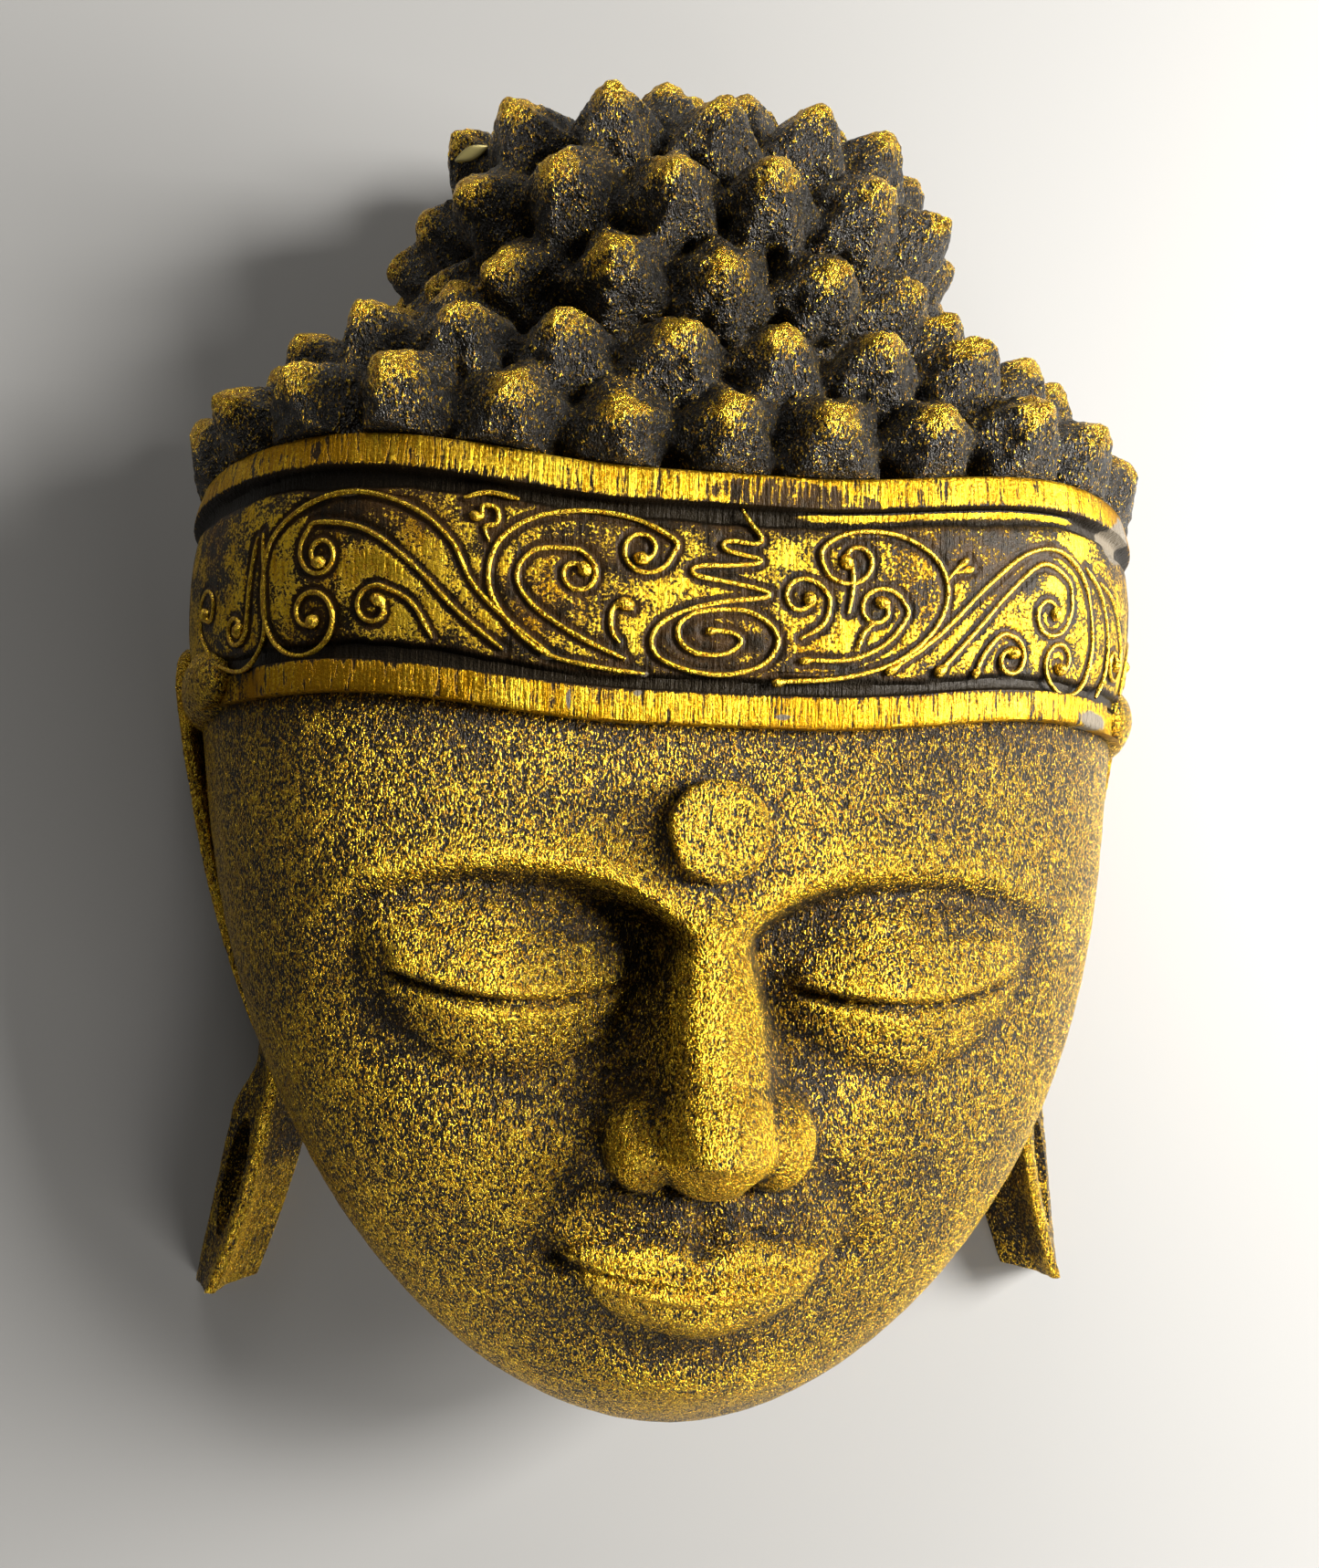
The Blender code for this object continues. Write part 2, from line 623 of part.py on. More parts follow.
def ear_section(y):
    """One cross-section of the right ear."""
    ridge, lip, foot = ear_marks(y)
    edge = EAR_EDGE
    middle = 0.5 * (ridge + foot) + np.array([1.5 * edge, 0.5 * edge])
    corners = [
        (foot[0], -BACK_STOCK),
        (foot[0], foot[1]),
        tuple(middle),
        (ridge[0] - 1.2 * edge, ridge[1]),
        (ridge[0] + edge, ridge[1] - 0.6 * edge),
        tuple(0.5 * (ridge + lip)),
        tuple(lip),
        (lip[0] + 0.4 * edge, max(lip[1] - 3 * edge, 0.0)),
        (lip[0] - 0.6 * edge, -BACK_STOCK),
    ]
    return [(x, y, z) for x, z in corners]


def mirrored_section(section, side):
    """A cross-section of the right ear, or of the left one when side is -1."""
    return [(side * x, y, z) for x, y, z in section]


def make_ear(name, side):
    """One ear with its lobe."""
    heights = np.linspace(EAR_TOP_Y - 0.0002, LOBE_END_Y, EAR_STATIONS)
    return loft(name, [mirrored_section(ear_section(y), side) for y in heights])


def make_slot(name, side):
    """The cutter for the long hollow on a lobe's outer face."""
    ends = []
    for share in (0.12, 0.88):
        y = LOBE_START_Y + (LOBE_END_Y - LOBE_START_Y) * share
        ridge, lip, _ = ear_marks(y)
        middle = 0.5 * (ridge + lip)
        fall = lip - ridge
        ends.append((Vector((side * middle[0], y, middle[1])), Vector((side * fall[0], 0, fall[1]))))
    (near, across), (far, _) = ends
    long_way = (far - near).normalized()
    out = across.cross(long_way).normalized()
    out = out if out.x * side > 0 else -out
    wide = out.cross(long_way)
    ball = bmesh.new()
    bmesh.ops.create_uvsphere(ball, u_segments=14, v_segments=10, radius=0.5)
    frame = Matrix((long_way, wide, out)).transposed().to_4x4()
    size = Matrix.Diagonal((SLOT_LENGTH, SLOT_WIDTH, 2 * SLOT_DEPTH, 1))
    ball.transform(Matrix.Translation((near + far) / 2) @ frame @ size)
    return new_object(name, ball)


def join(name, things):
    """One object that holds the meshes of several."""
    together = bmesh.new()
    for thing in things:
        together.from_mesh(thing.data)
        bpy.data.objects.remove(thing)
    return new_object(name, together)


def make_back_plane():
    """The cutter that leaves the back flat."""
    box = bmesh.new()
    bmesh.ops.create_cube(box, size=1)
    size = Vector((4 * HEAD_HALF_WIDTH, 4 * HEAD_HALF_WIDTH, HEAD_FRONT_Z))
    box.transform(Matrix.Translation((0, 0, -size.z / 2)) @ Matrix.Diagonal((*size, 1)))
    return new_object("back_cutter", box)


def wood_material():
    """Dark wood with worn gold paint."""
    wood = bpy.data.materials.new("gilded_wood")
    wood.use_nodes = True
    shader = wood.node_tree.nodes["Principled BSDF"]
    shader.inputs["Base Color"].default_value = (0.36, 0.26, 0.06, 1)
    shader.inputs["Roughness"].default_value = 0.42
    shader.inputs["Metallic"].default_value = 0.55
    return wood


def boolean(target, tool, operation, cutters):
    """Adds or cuts one object's shape, and puts that object away with the cutters."""
    change = target.modifiers.new(tool.name, "BOOLEAN")
    change.operation = operation
    change.solver = "EXACT"
    change.object = tool
    tool.hide_render = True
    tool.display_type = "WIRE"
    bpy.context.scene.collection.objects.unlink(tool)
    cutters.objects.link(tool)


def carve_block():
    """The head, topknot and knobs as one carved surface."""
    rng = random.Random(KNOB_SEED)
    things = [make_block("head", HEAD, 220, 160, with_face=True)]
    things.append(make_block("topknot", TOPKNOT, 72, 48))
    for index, (place, direction) in enumerate(zip(*knob_places())):
        radius = KNOB_RADIUS * rng.uniform(0.95, 1.07)
        height = KNOB_HEIGHT * rng.uniform(0.88, 1.10)
        twist = rng.uniform(0, math.tau)
        things.append(make_knob(f"knob_{index}", place, direction, radius, height, twist))
    mask = join("mask", things)
    carve = mask.modifiers.new("carve", "REMESH")
    carve.mode = "VOXEL"
    carve.voxel_size = CARVING_STEP
    return mask


def thin_out(mask):
    """Keeps the number of faces that the surface needs."""
    bpy.context.view_layer.update()
    carved = mask.evaluated_get(bpy.context.evaluated_depsgraph_get())
    faces = sum(len(face.vertices) - 2 for face in carved.data.polygons)
    thin = mask.modifiers.new("thin", "DECIMATE")
    thin.ratio = min(1, CARVED_TRIANGLES / faces)
    thin.use_collapse_triangulate = True


def clear_scene():
    """Removes whatever the startup file holds."""
    for thing in list(bpy.data.objects):
        bpy.data.objects.remove(thing)


def main():
    clear_scene()
    parts = bpy.data.collections.new("head_mask")
    cutters = bpy.data.collections.new("cutters")
    for group in (parts, cutters):
        bpy.context.scene.collection.children.link(group)
    mask = carve_block()
    thin_out(mask)
    boolean(mask, make_band(), "UNION", cutters)
    boolean(mask, make_dot(), "UNION", cutters)
    for name, side in (("right", 1), ("left", -1)):
        boolean(mask, make_ear(f"ear_{name}", side), "UNION", cutters)
        boolean(mask, make_slot(f"slot_{name}", side), "DIFFERENCE", cutters)
    boolean(mask, make_back_plane(), "DIFFERENCE", cutters)
    boolean(mask, make_block("hollow_cutter", HOLLOW, 28, 22), "DIFFERENCE", cutters)
    mask.data.materials.append(wood_material())
    bpy.context.scene.collection.objects.unlink(mask)
    parts.objects.link(mask)


main()
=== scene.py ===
# Looks for a carved wooden head mask with a headband, hair knobs, a topknot and long ears.
# Every piece stands for the one carved solid. X across the face, Y from chin to crown,
# Z out of the face, metres.
import math
import random

import bmesh
import bpy
import numpy as np
from mathutils import Matrix, Vector, kdtree, noise


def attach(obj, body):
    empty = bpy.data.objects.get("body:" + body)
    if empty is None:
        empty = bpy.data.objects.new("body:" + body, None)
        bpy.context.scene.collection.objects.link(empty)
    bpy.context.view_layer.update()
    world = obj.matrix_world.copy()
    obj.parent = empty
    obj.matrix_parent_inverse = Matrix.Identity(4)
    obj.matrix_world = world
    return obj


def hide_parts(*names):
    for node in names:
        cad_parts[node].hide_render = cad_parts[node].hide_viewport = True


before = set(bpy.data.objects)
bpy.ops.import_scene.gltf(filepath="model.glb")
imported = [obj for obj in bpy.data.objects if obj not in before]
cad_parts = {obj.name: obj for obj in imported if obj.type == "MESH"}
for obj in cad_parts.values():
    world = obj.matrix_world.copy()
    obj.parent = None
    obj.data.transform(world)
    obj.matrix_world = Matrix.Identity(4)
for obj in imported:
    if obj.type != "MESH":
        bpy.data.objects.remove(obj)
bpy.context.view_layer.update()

# Head block and topknot, as in the solid.
CHIN_Y = -0.1455
WIDEST_Y = 0.025
HAIR_SHOULDER_Y = 0.087
HEAD_HALF_WIDTH = 0.107
HEAD_FRONT_Z = 0.0882
SIDE_EDGE_Z = 0.015
CHIN_EDGE_Z = 0.047
SIDE_UNDERCUT = 0.004
CHIN_UNDERCUT = 0.034
TOPKNOT_Y = 0.083
TOPKNOT_HALF_WIDTH = 0.057
TOPKNOT_RISE = 0.0505
TOPKNOT_FRONT_Z = 0.078
TOPKNOT_ROW_BOW = 0.008
FACE_OUTLINE_POWER = 1.9
HAIR_OUTLINE_POWER = 2.3
TOPKNOT_OUTLINE_POWER = 3.5
EDGE_ROUNDING = 1.7
BACK_STOCK = 0.010

# Headband.
BAND_BOTTOM_Y = -0.0085
BAND_TOP_Y = 0.0385
BAND_BOW = 0.0055
RIM_WIDTH = 0.006
RIM_HEIGHT = 0.0034
BAND_FLOOR_HEIGHT = 0.0016
BAND_GROOVE_WIDTH = 0.0022
BAND_GROOVE_HEIGHT = 0.0004
BAND_SINK = 0.004
BAND_STATIONS = 760
BAND_MIDDLE_Y = 0.017
BAND_WIDTH = BAND_TOP_Y - BAND_BOTTOM_Y
# Where the band's floor starts, from either edge, and how much it crowns in the middle.
FLOOR_EDGE = RIM_WIDTH + BAND_GROOVE_WIDTH
FLOOR_CROWN = 0.0005

# Forehead dot.
DOT_Y = -0.0275
DOT_RADIUS = 0.0095
DOT_HEIGHT = 0.0032
DOT_FOOT = -0.004
DOT_SIDES = 120
# The dot's rounded edge, as shares of its radius and falls from its height, then its low crown.
DOT_EDGE = ((1.0, -0.0016), (0.985, -0.0009), (0.95, -0.0004), (0.90, -0.0001))
DOT_CROWN = 0.0004
DOT_CROWN_RINGS = (0.8, 0.65, 0.5, 0.35, 0.2, 0.08)

# Hair knobs.
KNOB_RADIUS = 0.0108
KNOB_HEIGHT = 0.0120
KNOB_PITCH = 0.0197
KNOB_SINK = 0.004
KNOB_SLOPE = 0.62
KNOB_LEAN = 0.0016
KNOB_FLATNESS = 0.14
# The shares of that radius and height between which single knobs vary.
KNOB_RADIUS_RANGE = (0.95, 1.07)
KNOB_HEIGHT_RANGE = (0.88, 1.10)
HEAD_ROWS_Y = (0.0458, 0.0600)
SIDE_ROW_Y = 0.0740
SIDE_ROW_X = 0.056
TOPKNOT_ROWS_Y = (0.0795, 0.0970, 0.1145)
LOWEST_KNOB = 0.0070
LEAST_ROW_GAP = 0.0135
LEAST_FILLING_GAP = 0.0152
FILLING_WALL_Z = (0.005, 0.012)
FILLING_SHARES = (0.998, 0.98, 0.95, 0.91, 0.86, 0.80)
FILLING_PITCH = KNOB_PITCH / 5
KNOB_SEED = 5
HAIR_VOXEL = 0.00092
CROWN_GRID = (220, 160)
TOPKNOT_GRID = (120, 90)
# How far the hair's rough cut and its clearance reach down behind the headband, and how far
# the clearance reaches into the head and out of it.
ROUGH_CUT_MARGIN = 0.002
CLEARANCE_MARGIN = 0.008
CLEARANCE_REACH = (0.003, 0.03)
# Where gold thins away from a knob's tip, and the direction of the knobs' gilded sides.
TIP_REACH = (0.0010, 0.0090)
GILDED_SIDE = (-0.30, 0.75, 0.25)
FLAKE_PLACE = (-0.0496, 0.1212)
FLAKE_SIZE = (0.0080, 0.0032, 0.0009)

# Ears.
EAR_TOP_Y = 0.017
EAR_TOP_ROUNDING = 0.012
LOBE_START_Y = -0.078
LOBE_END_Y = -0.128
LOBE_BLEND = 0.010
EAR_RIDGE_Z = 0.024
LOBE_END_RIDGE_Z = 0.016
EAR_RIDGE_OUT = 0.0024
EAR_TOP_OUT = 0.0012
EAR_TOP_SPAN = (-0.025, 0.010)
EAR_LIP_OUT = 0.0018
EAR_FOOT_IN = 0.0080
EAR_EDGE = 0.0010
LOBE_RIDGE_X = 0.0860
LOBE_SPLAY = 0.0120
LOBE_LIP_X = 0.0930
LOBE_LIP_SPLAY = 0.0100
LOBE_INNER_X = 0.0780
LOBE_INNER_SPLAY = 0.0120
LOBE_LIP_Z = 0.017
LOBE_END_LIP_Z = 0.004
SLOT_LENGTH = 0.028
SLOT_WIDTH = 0.0078
SLOT_DEPTH = 0.0050
EAR_VOXEL = 0.0006
# How much more gold the inner face of each lobe has, right (1) and left (-1): along its lower
# half, and at its end. Much of the left lobe's share is painted light: its inner face, in the
# head's shadow here, is painted as bright as window light would make it.
LOBE_GOLD_AND_LIGHT = {1: (0.10, 0.30), -1: (0.75, 0.10)}
# The swelling at the top of each ear: its place, its size and how far its top leans in, in
# degrees.
EAR_ROOT = (0.1005, 0.0030, 0.0310)
EAR_ROOT_SIZE = (0.0135, 0.0180, 0.0480)
EAR_ROOT_LEAN = 14

# Hollow back.
WALL = 0.017
HOLLOW_FRONT_WALL = 0.021
HOLLOW_CENTRE_Y = 0.005
HOLLOW_CROWN_Y = 0.062
HOLLOW_CHIN_Y = -0.094
HOLLOW_GRID = (96, 64)

# Face canon: ten parts from the headband to the chin.
FACE_PARTS = 10
BROW_PARTS = 1.9
EYE_PARTS = 3.35
NOSE_PARTS = 6.0
MOUTH_PARTS = 7.3
EYE_WIDTH_SHARE = 0.172
FACE_ROWS = 285
FACE_FRONT_COLUMNS = 142
FACE_WALL_SHARE = 0.42
FACE_LINE_STOPS = (500, 60)
# How much gold the face has where it is plain, and how much more where it stands out: weights
# and how far away its surroundings are taken.
FACE_GILT = 0.37
FACE_RIDGES = ((250, 0.0030), (85, 0.0110))
# Where the face's gold is thinner, in metres: across, up, reach, and how much.
FACE_WEAR = (
    (-0.043, -0.016, 0.0060, 0.22), (-0.052, -0.019, 0.0028, 0.15), (0.020, -0.012, 0.0050, 0.08),
    (-0.070, -0.017, 0.0080, 0.10), (0.062, -0.020, 0.0060, 0.06), (-0.060, -0.062, 0.0120, 0.06),
)

HEAD = {
    "centre_y": WIDEST_Y,
    "half_width": HEAD_HALF_WIDTH,
    "up": HAIR_SHOULDER_Y - WIDEST_Y,
    "down": WIDEST_Y - CHIN_Y,
    "power_up": HAIR_OUTLINE_POWER,
    "power_down": FACE_OUTLINE_POWER,
    "front_z": HEAD_FRONT_Z,
    "edge_z": SIDE_EDGE_Z,
    "low_edge_z": CHIN_EDGE_Z,
    "undercut": SIDE_UNDERCUT,
    "low_undercut": CHIN_UNDERCUT,
    "fullness_up": 4.4,
    "fullness_down": 3.2,
}
TOPKNOT = {
    "centre_y": TOPKNOT_Y,
    "half_width": TOPKNOT_HALF_WIDTH,
    "up": TOPKNOT_RISE,
    "down": TOPKNOT_RISE,
    "power_up": TOPKNOT_OUTLINE_POWER,
    "power_down": TOPKNOT_OUTLINE_POWER,
    "front_z": TOPKNOT_FRONT_Z,
    "edge_z": SIDE_EDGE_Z,
    "low_edge_z": SIDE_EDGE_Z,
    "undercut": SIDE_UNDERCUT,
    "low_undercut": SIDE_UNDERCUT,
    "fullness_up": 2.7,
    "fullness_down": 2.7,
}
HOLLOW = {
    "centre_y": HOLLOW_CENTRE_Y,
    "half_width": HEAD_HALF_WIDTH - WALL,
    "up": HOLLOW_CROWN_Y - HOLLOW_CENTRE_Y,
    "down": HOLLOW_CENTRE_Y - HOLLOW_CHIN_Y,
    "power_up": HAIR_OUTLINE_POWER,
    "power_down": FACE_OUTLINE_POWER,
    "front_z": HEAD_FRONT_Z - HOLLOW_FRONT_WALL,
    "edge_z": 0.0,
    "low_edge_z": 0.0,
    "undercut": 0.0,
    "low_undercut": 0.0,
    "fullness_up": 2.4,
    "fullness_down": 2.4,
}

MM_PER_M = 1000
# Scrolls raised on the headband, in millimetres along the band from its middle and up from
# its lower edge: the stem's points, then the curl's centre, its turns (+ anticlockwise) and
# how near the centre it ends. Without a curl the last number is the radius of the bud at the
# stem's end, or 0 for none.
SCROLLS = (
    (
        [(-31, 10.5), (-40, 16.5), (-46, 22), (-50, 29), (-57, 34), (-68, 36.5), (-79, 34.5),
         (-87, 29.5), (-89.5, 22)],
        (-78, 14.8), 1.55, 1.6,
    ),
    ([(-40, 10.5), (-48, 16), (-57, 24), (-66, 29.7), (-76, 31.3)], (-75.3, 25.6), 1.6, 1.5),
    ([(-53, 11), (-57, 17), (-62.5, 19.6)], (-64.3, 15.6), 1.1, 1.6),
    (
        [(-14.5, 9), (-24, 9.7), (-32.5, 11), (-39.5, 16), (-43, 22.5), (-41.5, 30), (-35, 35.5),
         (-26, 38), (-17, 37.5), (-9.5, 34)],
        (-15.3, 32), -1.45, 1.6,
    ),
    (
        [(-18, 11.5), (-27, 15), (-35, 19.5), (-38, 24.5), (-35, 29.5), (-28, 30.8)],
        (-27.3, 26.2), -1.3, 1.6,
    ),
    (
        [(-19.2, 14.4), (-20.6, 16.4), (-20.9, 19.2), (-20.0, 21.2), (-18.2, 21.6), (-17.0, 20.8)],
        None, 0, 1.4,
    ),
    (
        [(-43.2, 30), (-44, 32.3), (-41.8, 33.3), (-42, 36), (-44.6, 36), (-44.6, 34), (-46.8, 34.2)],
        None, 0, 1.0,
    ),
    ([(-48, 37), (-43.5, 38.6), (-38, 38.3)], None, 0, 0),
    (
        [(2.9, 40.6), (4.3, 38.4), (6.7, 35.3), (5.4, 34.2), (1.1, 34.5), (-0.6, 33.8), (0.1, 32.7),
         (3.1, 32), (6.4, 31.4), (5.8, 30.5), (1.2, 29.9), (-4.4, 29.5), (-6.3, 28.6), (-5.3, 27.6),
         (-0.8, 26.9), (4.5, 26.1), (8, 25.2), (7.5, 24.2), (3.2, 23.6), (-2, 22.6), (-6.5, 21.3),
         (-10.3, 19.5), (-12.8, 17.1), (-13.4, 14.4), (-11.5, 11.8), (-5.6, 9.8), (1.2, 9.6),
         (7.4, 11.8), (10, 15.8), (8.6, 19.1), (4.4, 21.4), (-0.7, 21.5), (-5.8, 20.5), (-8.6, 17.9),
         (-7.8, 14.8), (-4.4, 13.1), (0.3, 13.4), (3, 15.4), (2.2, 17), (-0.7, 17.6), (-3.5, 17.3)],
        None, 0, 0.9,
    ),
    ([(14.5, 17), (18.6, 19.8), (19.8, 24)], (14.3, 24.4), 1.15, 1.4),
    (
        [(9.7, 8.6), (24, 10), (34, 13), (41, 18.7), (43.3, 25.5), (40.5, 32), (33, 36.5), (24, 37.2),
         (18.3, 34), (19.2, 29.6)],
        (24.6, 32), 1.1, 1.5,
    ),
    ([(23.4, 22), (24.2, 27), (24, 31.5)], None, 0, 0),
    ([(15.5, 13), (24, 13.2), (31, 16.2), (35, 21)], (29.2, 22.4), 1.35, 1.4),
    ([(28.6, 20), (26.5, 18.3), (25.2, 15.2)], None, 0, 0),
    ([(43, 27.5), (45, 29.6), (47.4, 31.6)], None, 0, 0.8),
    ([(44.6, 29.0), (46.4, 29.2), (48.6, 29.7)], None, 0, 0.8),
    ([(33.6, 11.9), (32.4, 11.2), (30.8, 10.2)], None, 0, 0.9),
    ([(43.4, 11.6), (42.2, 10.5), (41.0, 9.3)], None, 0, 1.1),
    ([(50.6, 11.0), (49.9, 9.8), (49.2, 8.6)], None, 0, 0.8),
    ([(16.6, 13.1), (15.2, 12.8), (14.0, 12.7)], None, 0, 0.8),
    ([(11.8, 8.8), (10.4, 8.5), (9.0, 8.3)], None, 0, 0.9),
    (
        [(31.5, 10.8), (41.5, 17), (52, 26.4), (61, 32.6), (70, 33.6), (78, 28.6), (82, 19)],
        (71.9, 12.4), -1.5, 1.4,
    ),
    ([(41, 9.5), (49, 17), (57.5, 25.6), (65, 30.8), (72, 28.6)], (67.4, 21.6), -1.3, 1.4),
    ([(49.4, 9.2), (52, 13.6), (55.4, 16.8)], (57.7, 12), -1.3, 1.4),
    ([(78, 31.8), (84.5, 27.6), (89, 21), (90, 13), (86, 6.8)], None, 0, 0),
    ([(84, 30), (92, 27), (99, 20)], (95, 15.5), -1.3, 1.4),
    ([(-91.4, 30.4), (-93.6, 22), (-95, 14)], (-99.2, 14.2), -1.2, 1.4),
    (
        [(-89.7, 31), (-89.2, 20), (-90, 10.6), (-97, 5.8), (-108, 8.6), (-116, 14.5)],
        (-111.5, 19.5), -1.2, 1.6,
    ),
    ([(104, 10), (110, 20), (118, 24)], (119.5, 17.5), -1.25, 1.4),
)
# The scrolls' radius, the step along them, the radius of a curl's end bud, the depth of the
# ditches beside them and how far their middle lies over the band's floor, in metres.
SCROLL_RADIUS = 0.00049
SCROLL_STEP = 0.00055
BUD_RADIUS = 0.00135
SCROLL_DITCH = 0.00040
CORD_LIFT = 0.0003

# Where the headband's gold lies thicker or thinner than elsewhere, in the same millimetres:
# along, up, half length and half width, then how much.
RUBBED = (
    (-56, 25, 11, 5, 0.34), (-52, 15, 13, 4, 0.26), (-63, 23, 8, 3, 0.30), (-84, 21, 5, 8, 0.16),
    (-72, 35, 15, 3, -0.42), (-46, 32, 6, 6, -0.10), (-33, 24, 6, 7, 0.10), (-25, 33, 12, 4, -0.14),
    (-27, 16, 10, 4, -0.06), (-14, 23, 7, 6, 0.12), (-20, 30, 6, 3, -0.30), (-2, 24, 8, 3, 0.26),
    (-3, 16, 11, 5, -0.40), (9, 32, 7, 4, 0.16), (13, 17, 4, 8, 0.12), (28, 18, 12, 7, 0.44),
    (33, 32, 10, 6, 0.26), (24, 31, 6, 4, -0.25), (44, 35, 9, 3, -0.16), (49, 17, 9, 9, 0.44),
    (56, 29, 9, 5, -0.32), (65, 16, 9, 7, 0.36), (74, 26, 6, 8, 0.10), (100, 20, 14, 12, 0.05),
    (-100, 20, 8, 12, 0.05), (-7, 38, 30, 2, -0.45), (30, 39, 30, 1, 0.10),
)
# Rubbed down to dark brown on the upper rim.
BARED = ((9, 43.6, 15, 3.0), (25, 41.8, 5, 1.2), (-76, 44, 1.5, 2))
# Worn through to pale grey: the upper rim's right end, chips on the lower rim and on the scrolls.
GREYED = (
    (90, 38.8, 6.5, 4.0), (96, 42, 5, 4), (-15.8, 5.2, 1.0, 0.8), (10.7, 1.8, 2.1, 0.7),
    (-70, 36.3, 3.6, 0.7), (-32, 10.4, 1.8, 0.6), (-14.4, 8.9, 1.4, 0.5), (82, 1.5, 7, 2.2),
    (-28, 3.0, 0.5, 2.2), (40, 11.2, 0.8, 0.4),
)
# A second thin ledge under the upper rim: where it starts and ends along the headband, the
# millimetres that it takes to rise and fall, and its height in metres.
LEDGE_SPAN = (10, 78)
LEDGE_FADE = 8
LEDGE_HEIGHT = 0.0011
# Where the lower rim sinks towards the ears, in millimetres along the headband.
RIM_END = (88, 97)
# How far the hair stays off the upper rim, and how deep the scalp lies under the plain head.
RIM_CLEARANCE = 0.0003
SCALP_SINK = 0.0018

# The carved skins' small unevenness: depth, size of the lumps, seed and stretch. A cord's
# depth is a share of its radius.
FACE_SKIN = ((0.00010, 0.0045, 3), (0.00006, 0.0018, 4))
HAIR_SKIN = ((0.00050, 0.0034, 1), (0.00045, 0.0013, 2, (1, 1.5, 1.8)))
BAND_SKIN = ((0.00009, 0.004, 14), (0.00010, 0.014, 15))
CORD_SKIN = ((0.18, 0.004, 21),)
DOT_SKIN = ((0.00008, 0.002, 31),)
EAR_SKIN = ((0.00012, 0.003, 41), (0.00008, 0.0013, 42))
# How the inner edges of the rims and the edges of the band's floor wander, in the same way, and
# how far in from its plain edge the floor starts.
RIM_WANDER = ((0.0004, 0.030, 11),)
FLOOR_WANDER = ((0.0011, 0.018, 12), (0.0004, 0.005, 13))
FLOOR_SHIFT = 0.0005

# Paints and stains.
DARK = (0.006, 0.0040, 0.002, 1)
BROWN = (0.042, 0.021, 0.005, 1)
WARM_BROWN = (0.040, 0.019, 0.005, 1)
COAL = (0.004, 0.004, 0.0038, 1)
SOOT = (0.014, 0.012, 0.010, 1)
DEEP_GOLD = (0.38, 0.185, 0.003, 1)
BRIGHT_GOLD = (0.86, 0.58, 0.035, 1)
RIM_GOLD = (0.78, 0.51, 0.03, 1)
PALE_GOLD = (0.62, 0.52, 0.20, 1)
PALE_GREY = (0.15, 0.125, 0.09, 1)
DARK_STAIN = (0.035, 0.020, 0.010, 1)
PALE_STAIN = (0.13, 0.075, 0.032, 1)
SHEEN_LEVEL = 0.15
SHEEN_TINT = (0.85, 0.66, 0.40, 1)
COAT_ROUGHNESS = 0.24

# Floor, light and camera.
FLOOR_COLOUR = (0.32, 0.315, 0.305, 1)
FLOOR_ROUGHNESS = 0.65
WORLD_COLOUR = (0.88, 0.86, 0.82, 1)
WORLD_STRENGTH = 0.06
WINDOW_WHITE = (1.0, 0.985, 0.96)
LAMP_WHITE = (1.0, 0.98, 0.95)
# Each light's name, place, power in watts, side length and colour.
LIGHTS = (
    ("window", (0.72, 0.18, 0.62), 19, 0.30, WINDOW_WHITE),
    ("low_window", (0.85, 0.05, 0.30), 10, 0.30, WINDOW_WHITE),
    ("front", (0.45, -0.75, 0.35), 6, 0.5, LAMP_WHITE),
    ("fill", (-0.60, 0.30, 0.60), 0.5, 0.6, LAMP_WHITE),
    ("top", (-0.15, 0.85, 0.50), 2.7, 0.4, LAMP_WHITE),
)
LIGHT_TARGET = (0, 0, 0.04)
SENSOR_WIDTH = 36
LENS = 30.3
CAMERA_PLACE = (-0.0444, -0.0416, 0.324)
CAMERA_RIGHT = (0.98966, 0.02210, 0.14171)
CAMERA_UP = (-0.03501, 0.99539, 0.08930)
CAMERA_BACK = (-0.13909, -0.09334, 0.98587)

MIRROR = np.array([-1, 1, 1])
# Stops on measuring lines: over a block's front and down its wall, and round half its outline.
LINE_STOPS = (200, 40)
ARC_STOPS = 400
# The box that cuts off what lies behind the back plane, and the lowest corner of the boxes that
# cut off the hair below the headband's middle.
BOX_LOW = (-0.3, -0.3, -0.1)
BOX_HIGH = (0.3, 0.3, 0.0)
LOW_BOX_CORNER = (-0.3, -0.4, -0.1)


def smooth_step(low, high, value):
    """0 at low, 1 at high, with a soft rise between them."""
    share = np.clip((value - low) / (high - low), 0, 1)
    return share * share * (3 - 2 * share)


def bell(value, width):
    """1 at zero, falling to nothing a few widths away."""
    return np.exp(-((value / width) ** 2))


def dome(*shares):
    """A round swelling: 1 in the middle, 0 where the shares reach their edge."""
    return np.sqrt(np.clip(1 - sum(share**2 for share in shares), 0, 1))


def soft_max(a, b, blend):
    """The larger of two heights, with a soft join where they cross."""
    share = np.clip(0.5 + 0.5 * (a - b) / blend, 0, 1)
    return b + (a - b) * share + blend * share * (1 - share)


def outline_power(turn, block):
    """How square the outline is at an angle."""
    up = smooth_step(-0.15, 0.15, np.sin(turn))
    return block["power_down"] + (block["power_up"] - block["power_down"]) * up


def outline_radius(turn, block):
    """Distance from a block's centre to its outline, seen from the front, at an angle."""
    power = outline_power(turn, block)
    across = np.abs(np.cos(turn)) / block["half_width"]
    along = np.abs(np.sin(turn)) / np.where(np.sin(turn) > 0, block["up"], block["down"])
    return (across**power + along**power) ** (-1 / power)


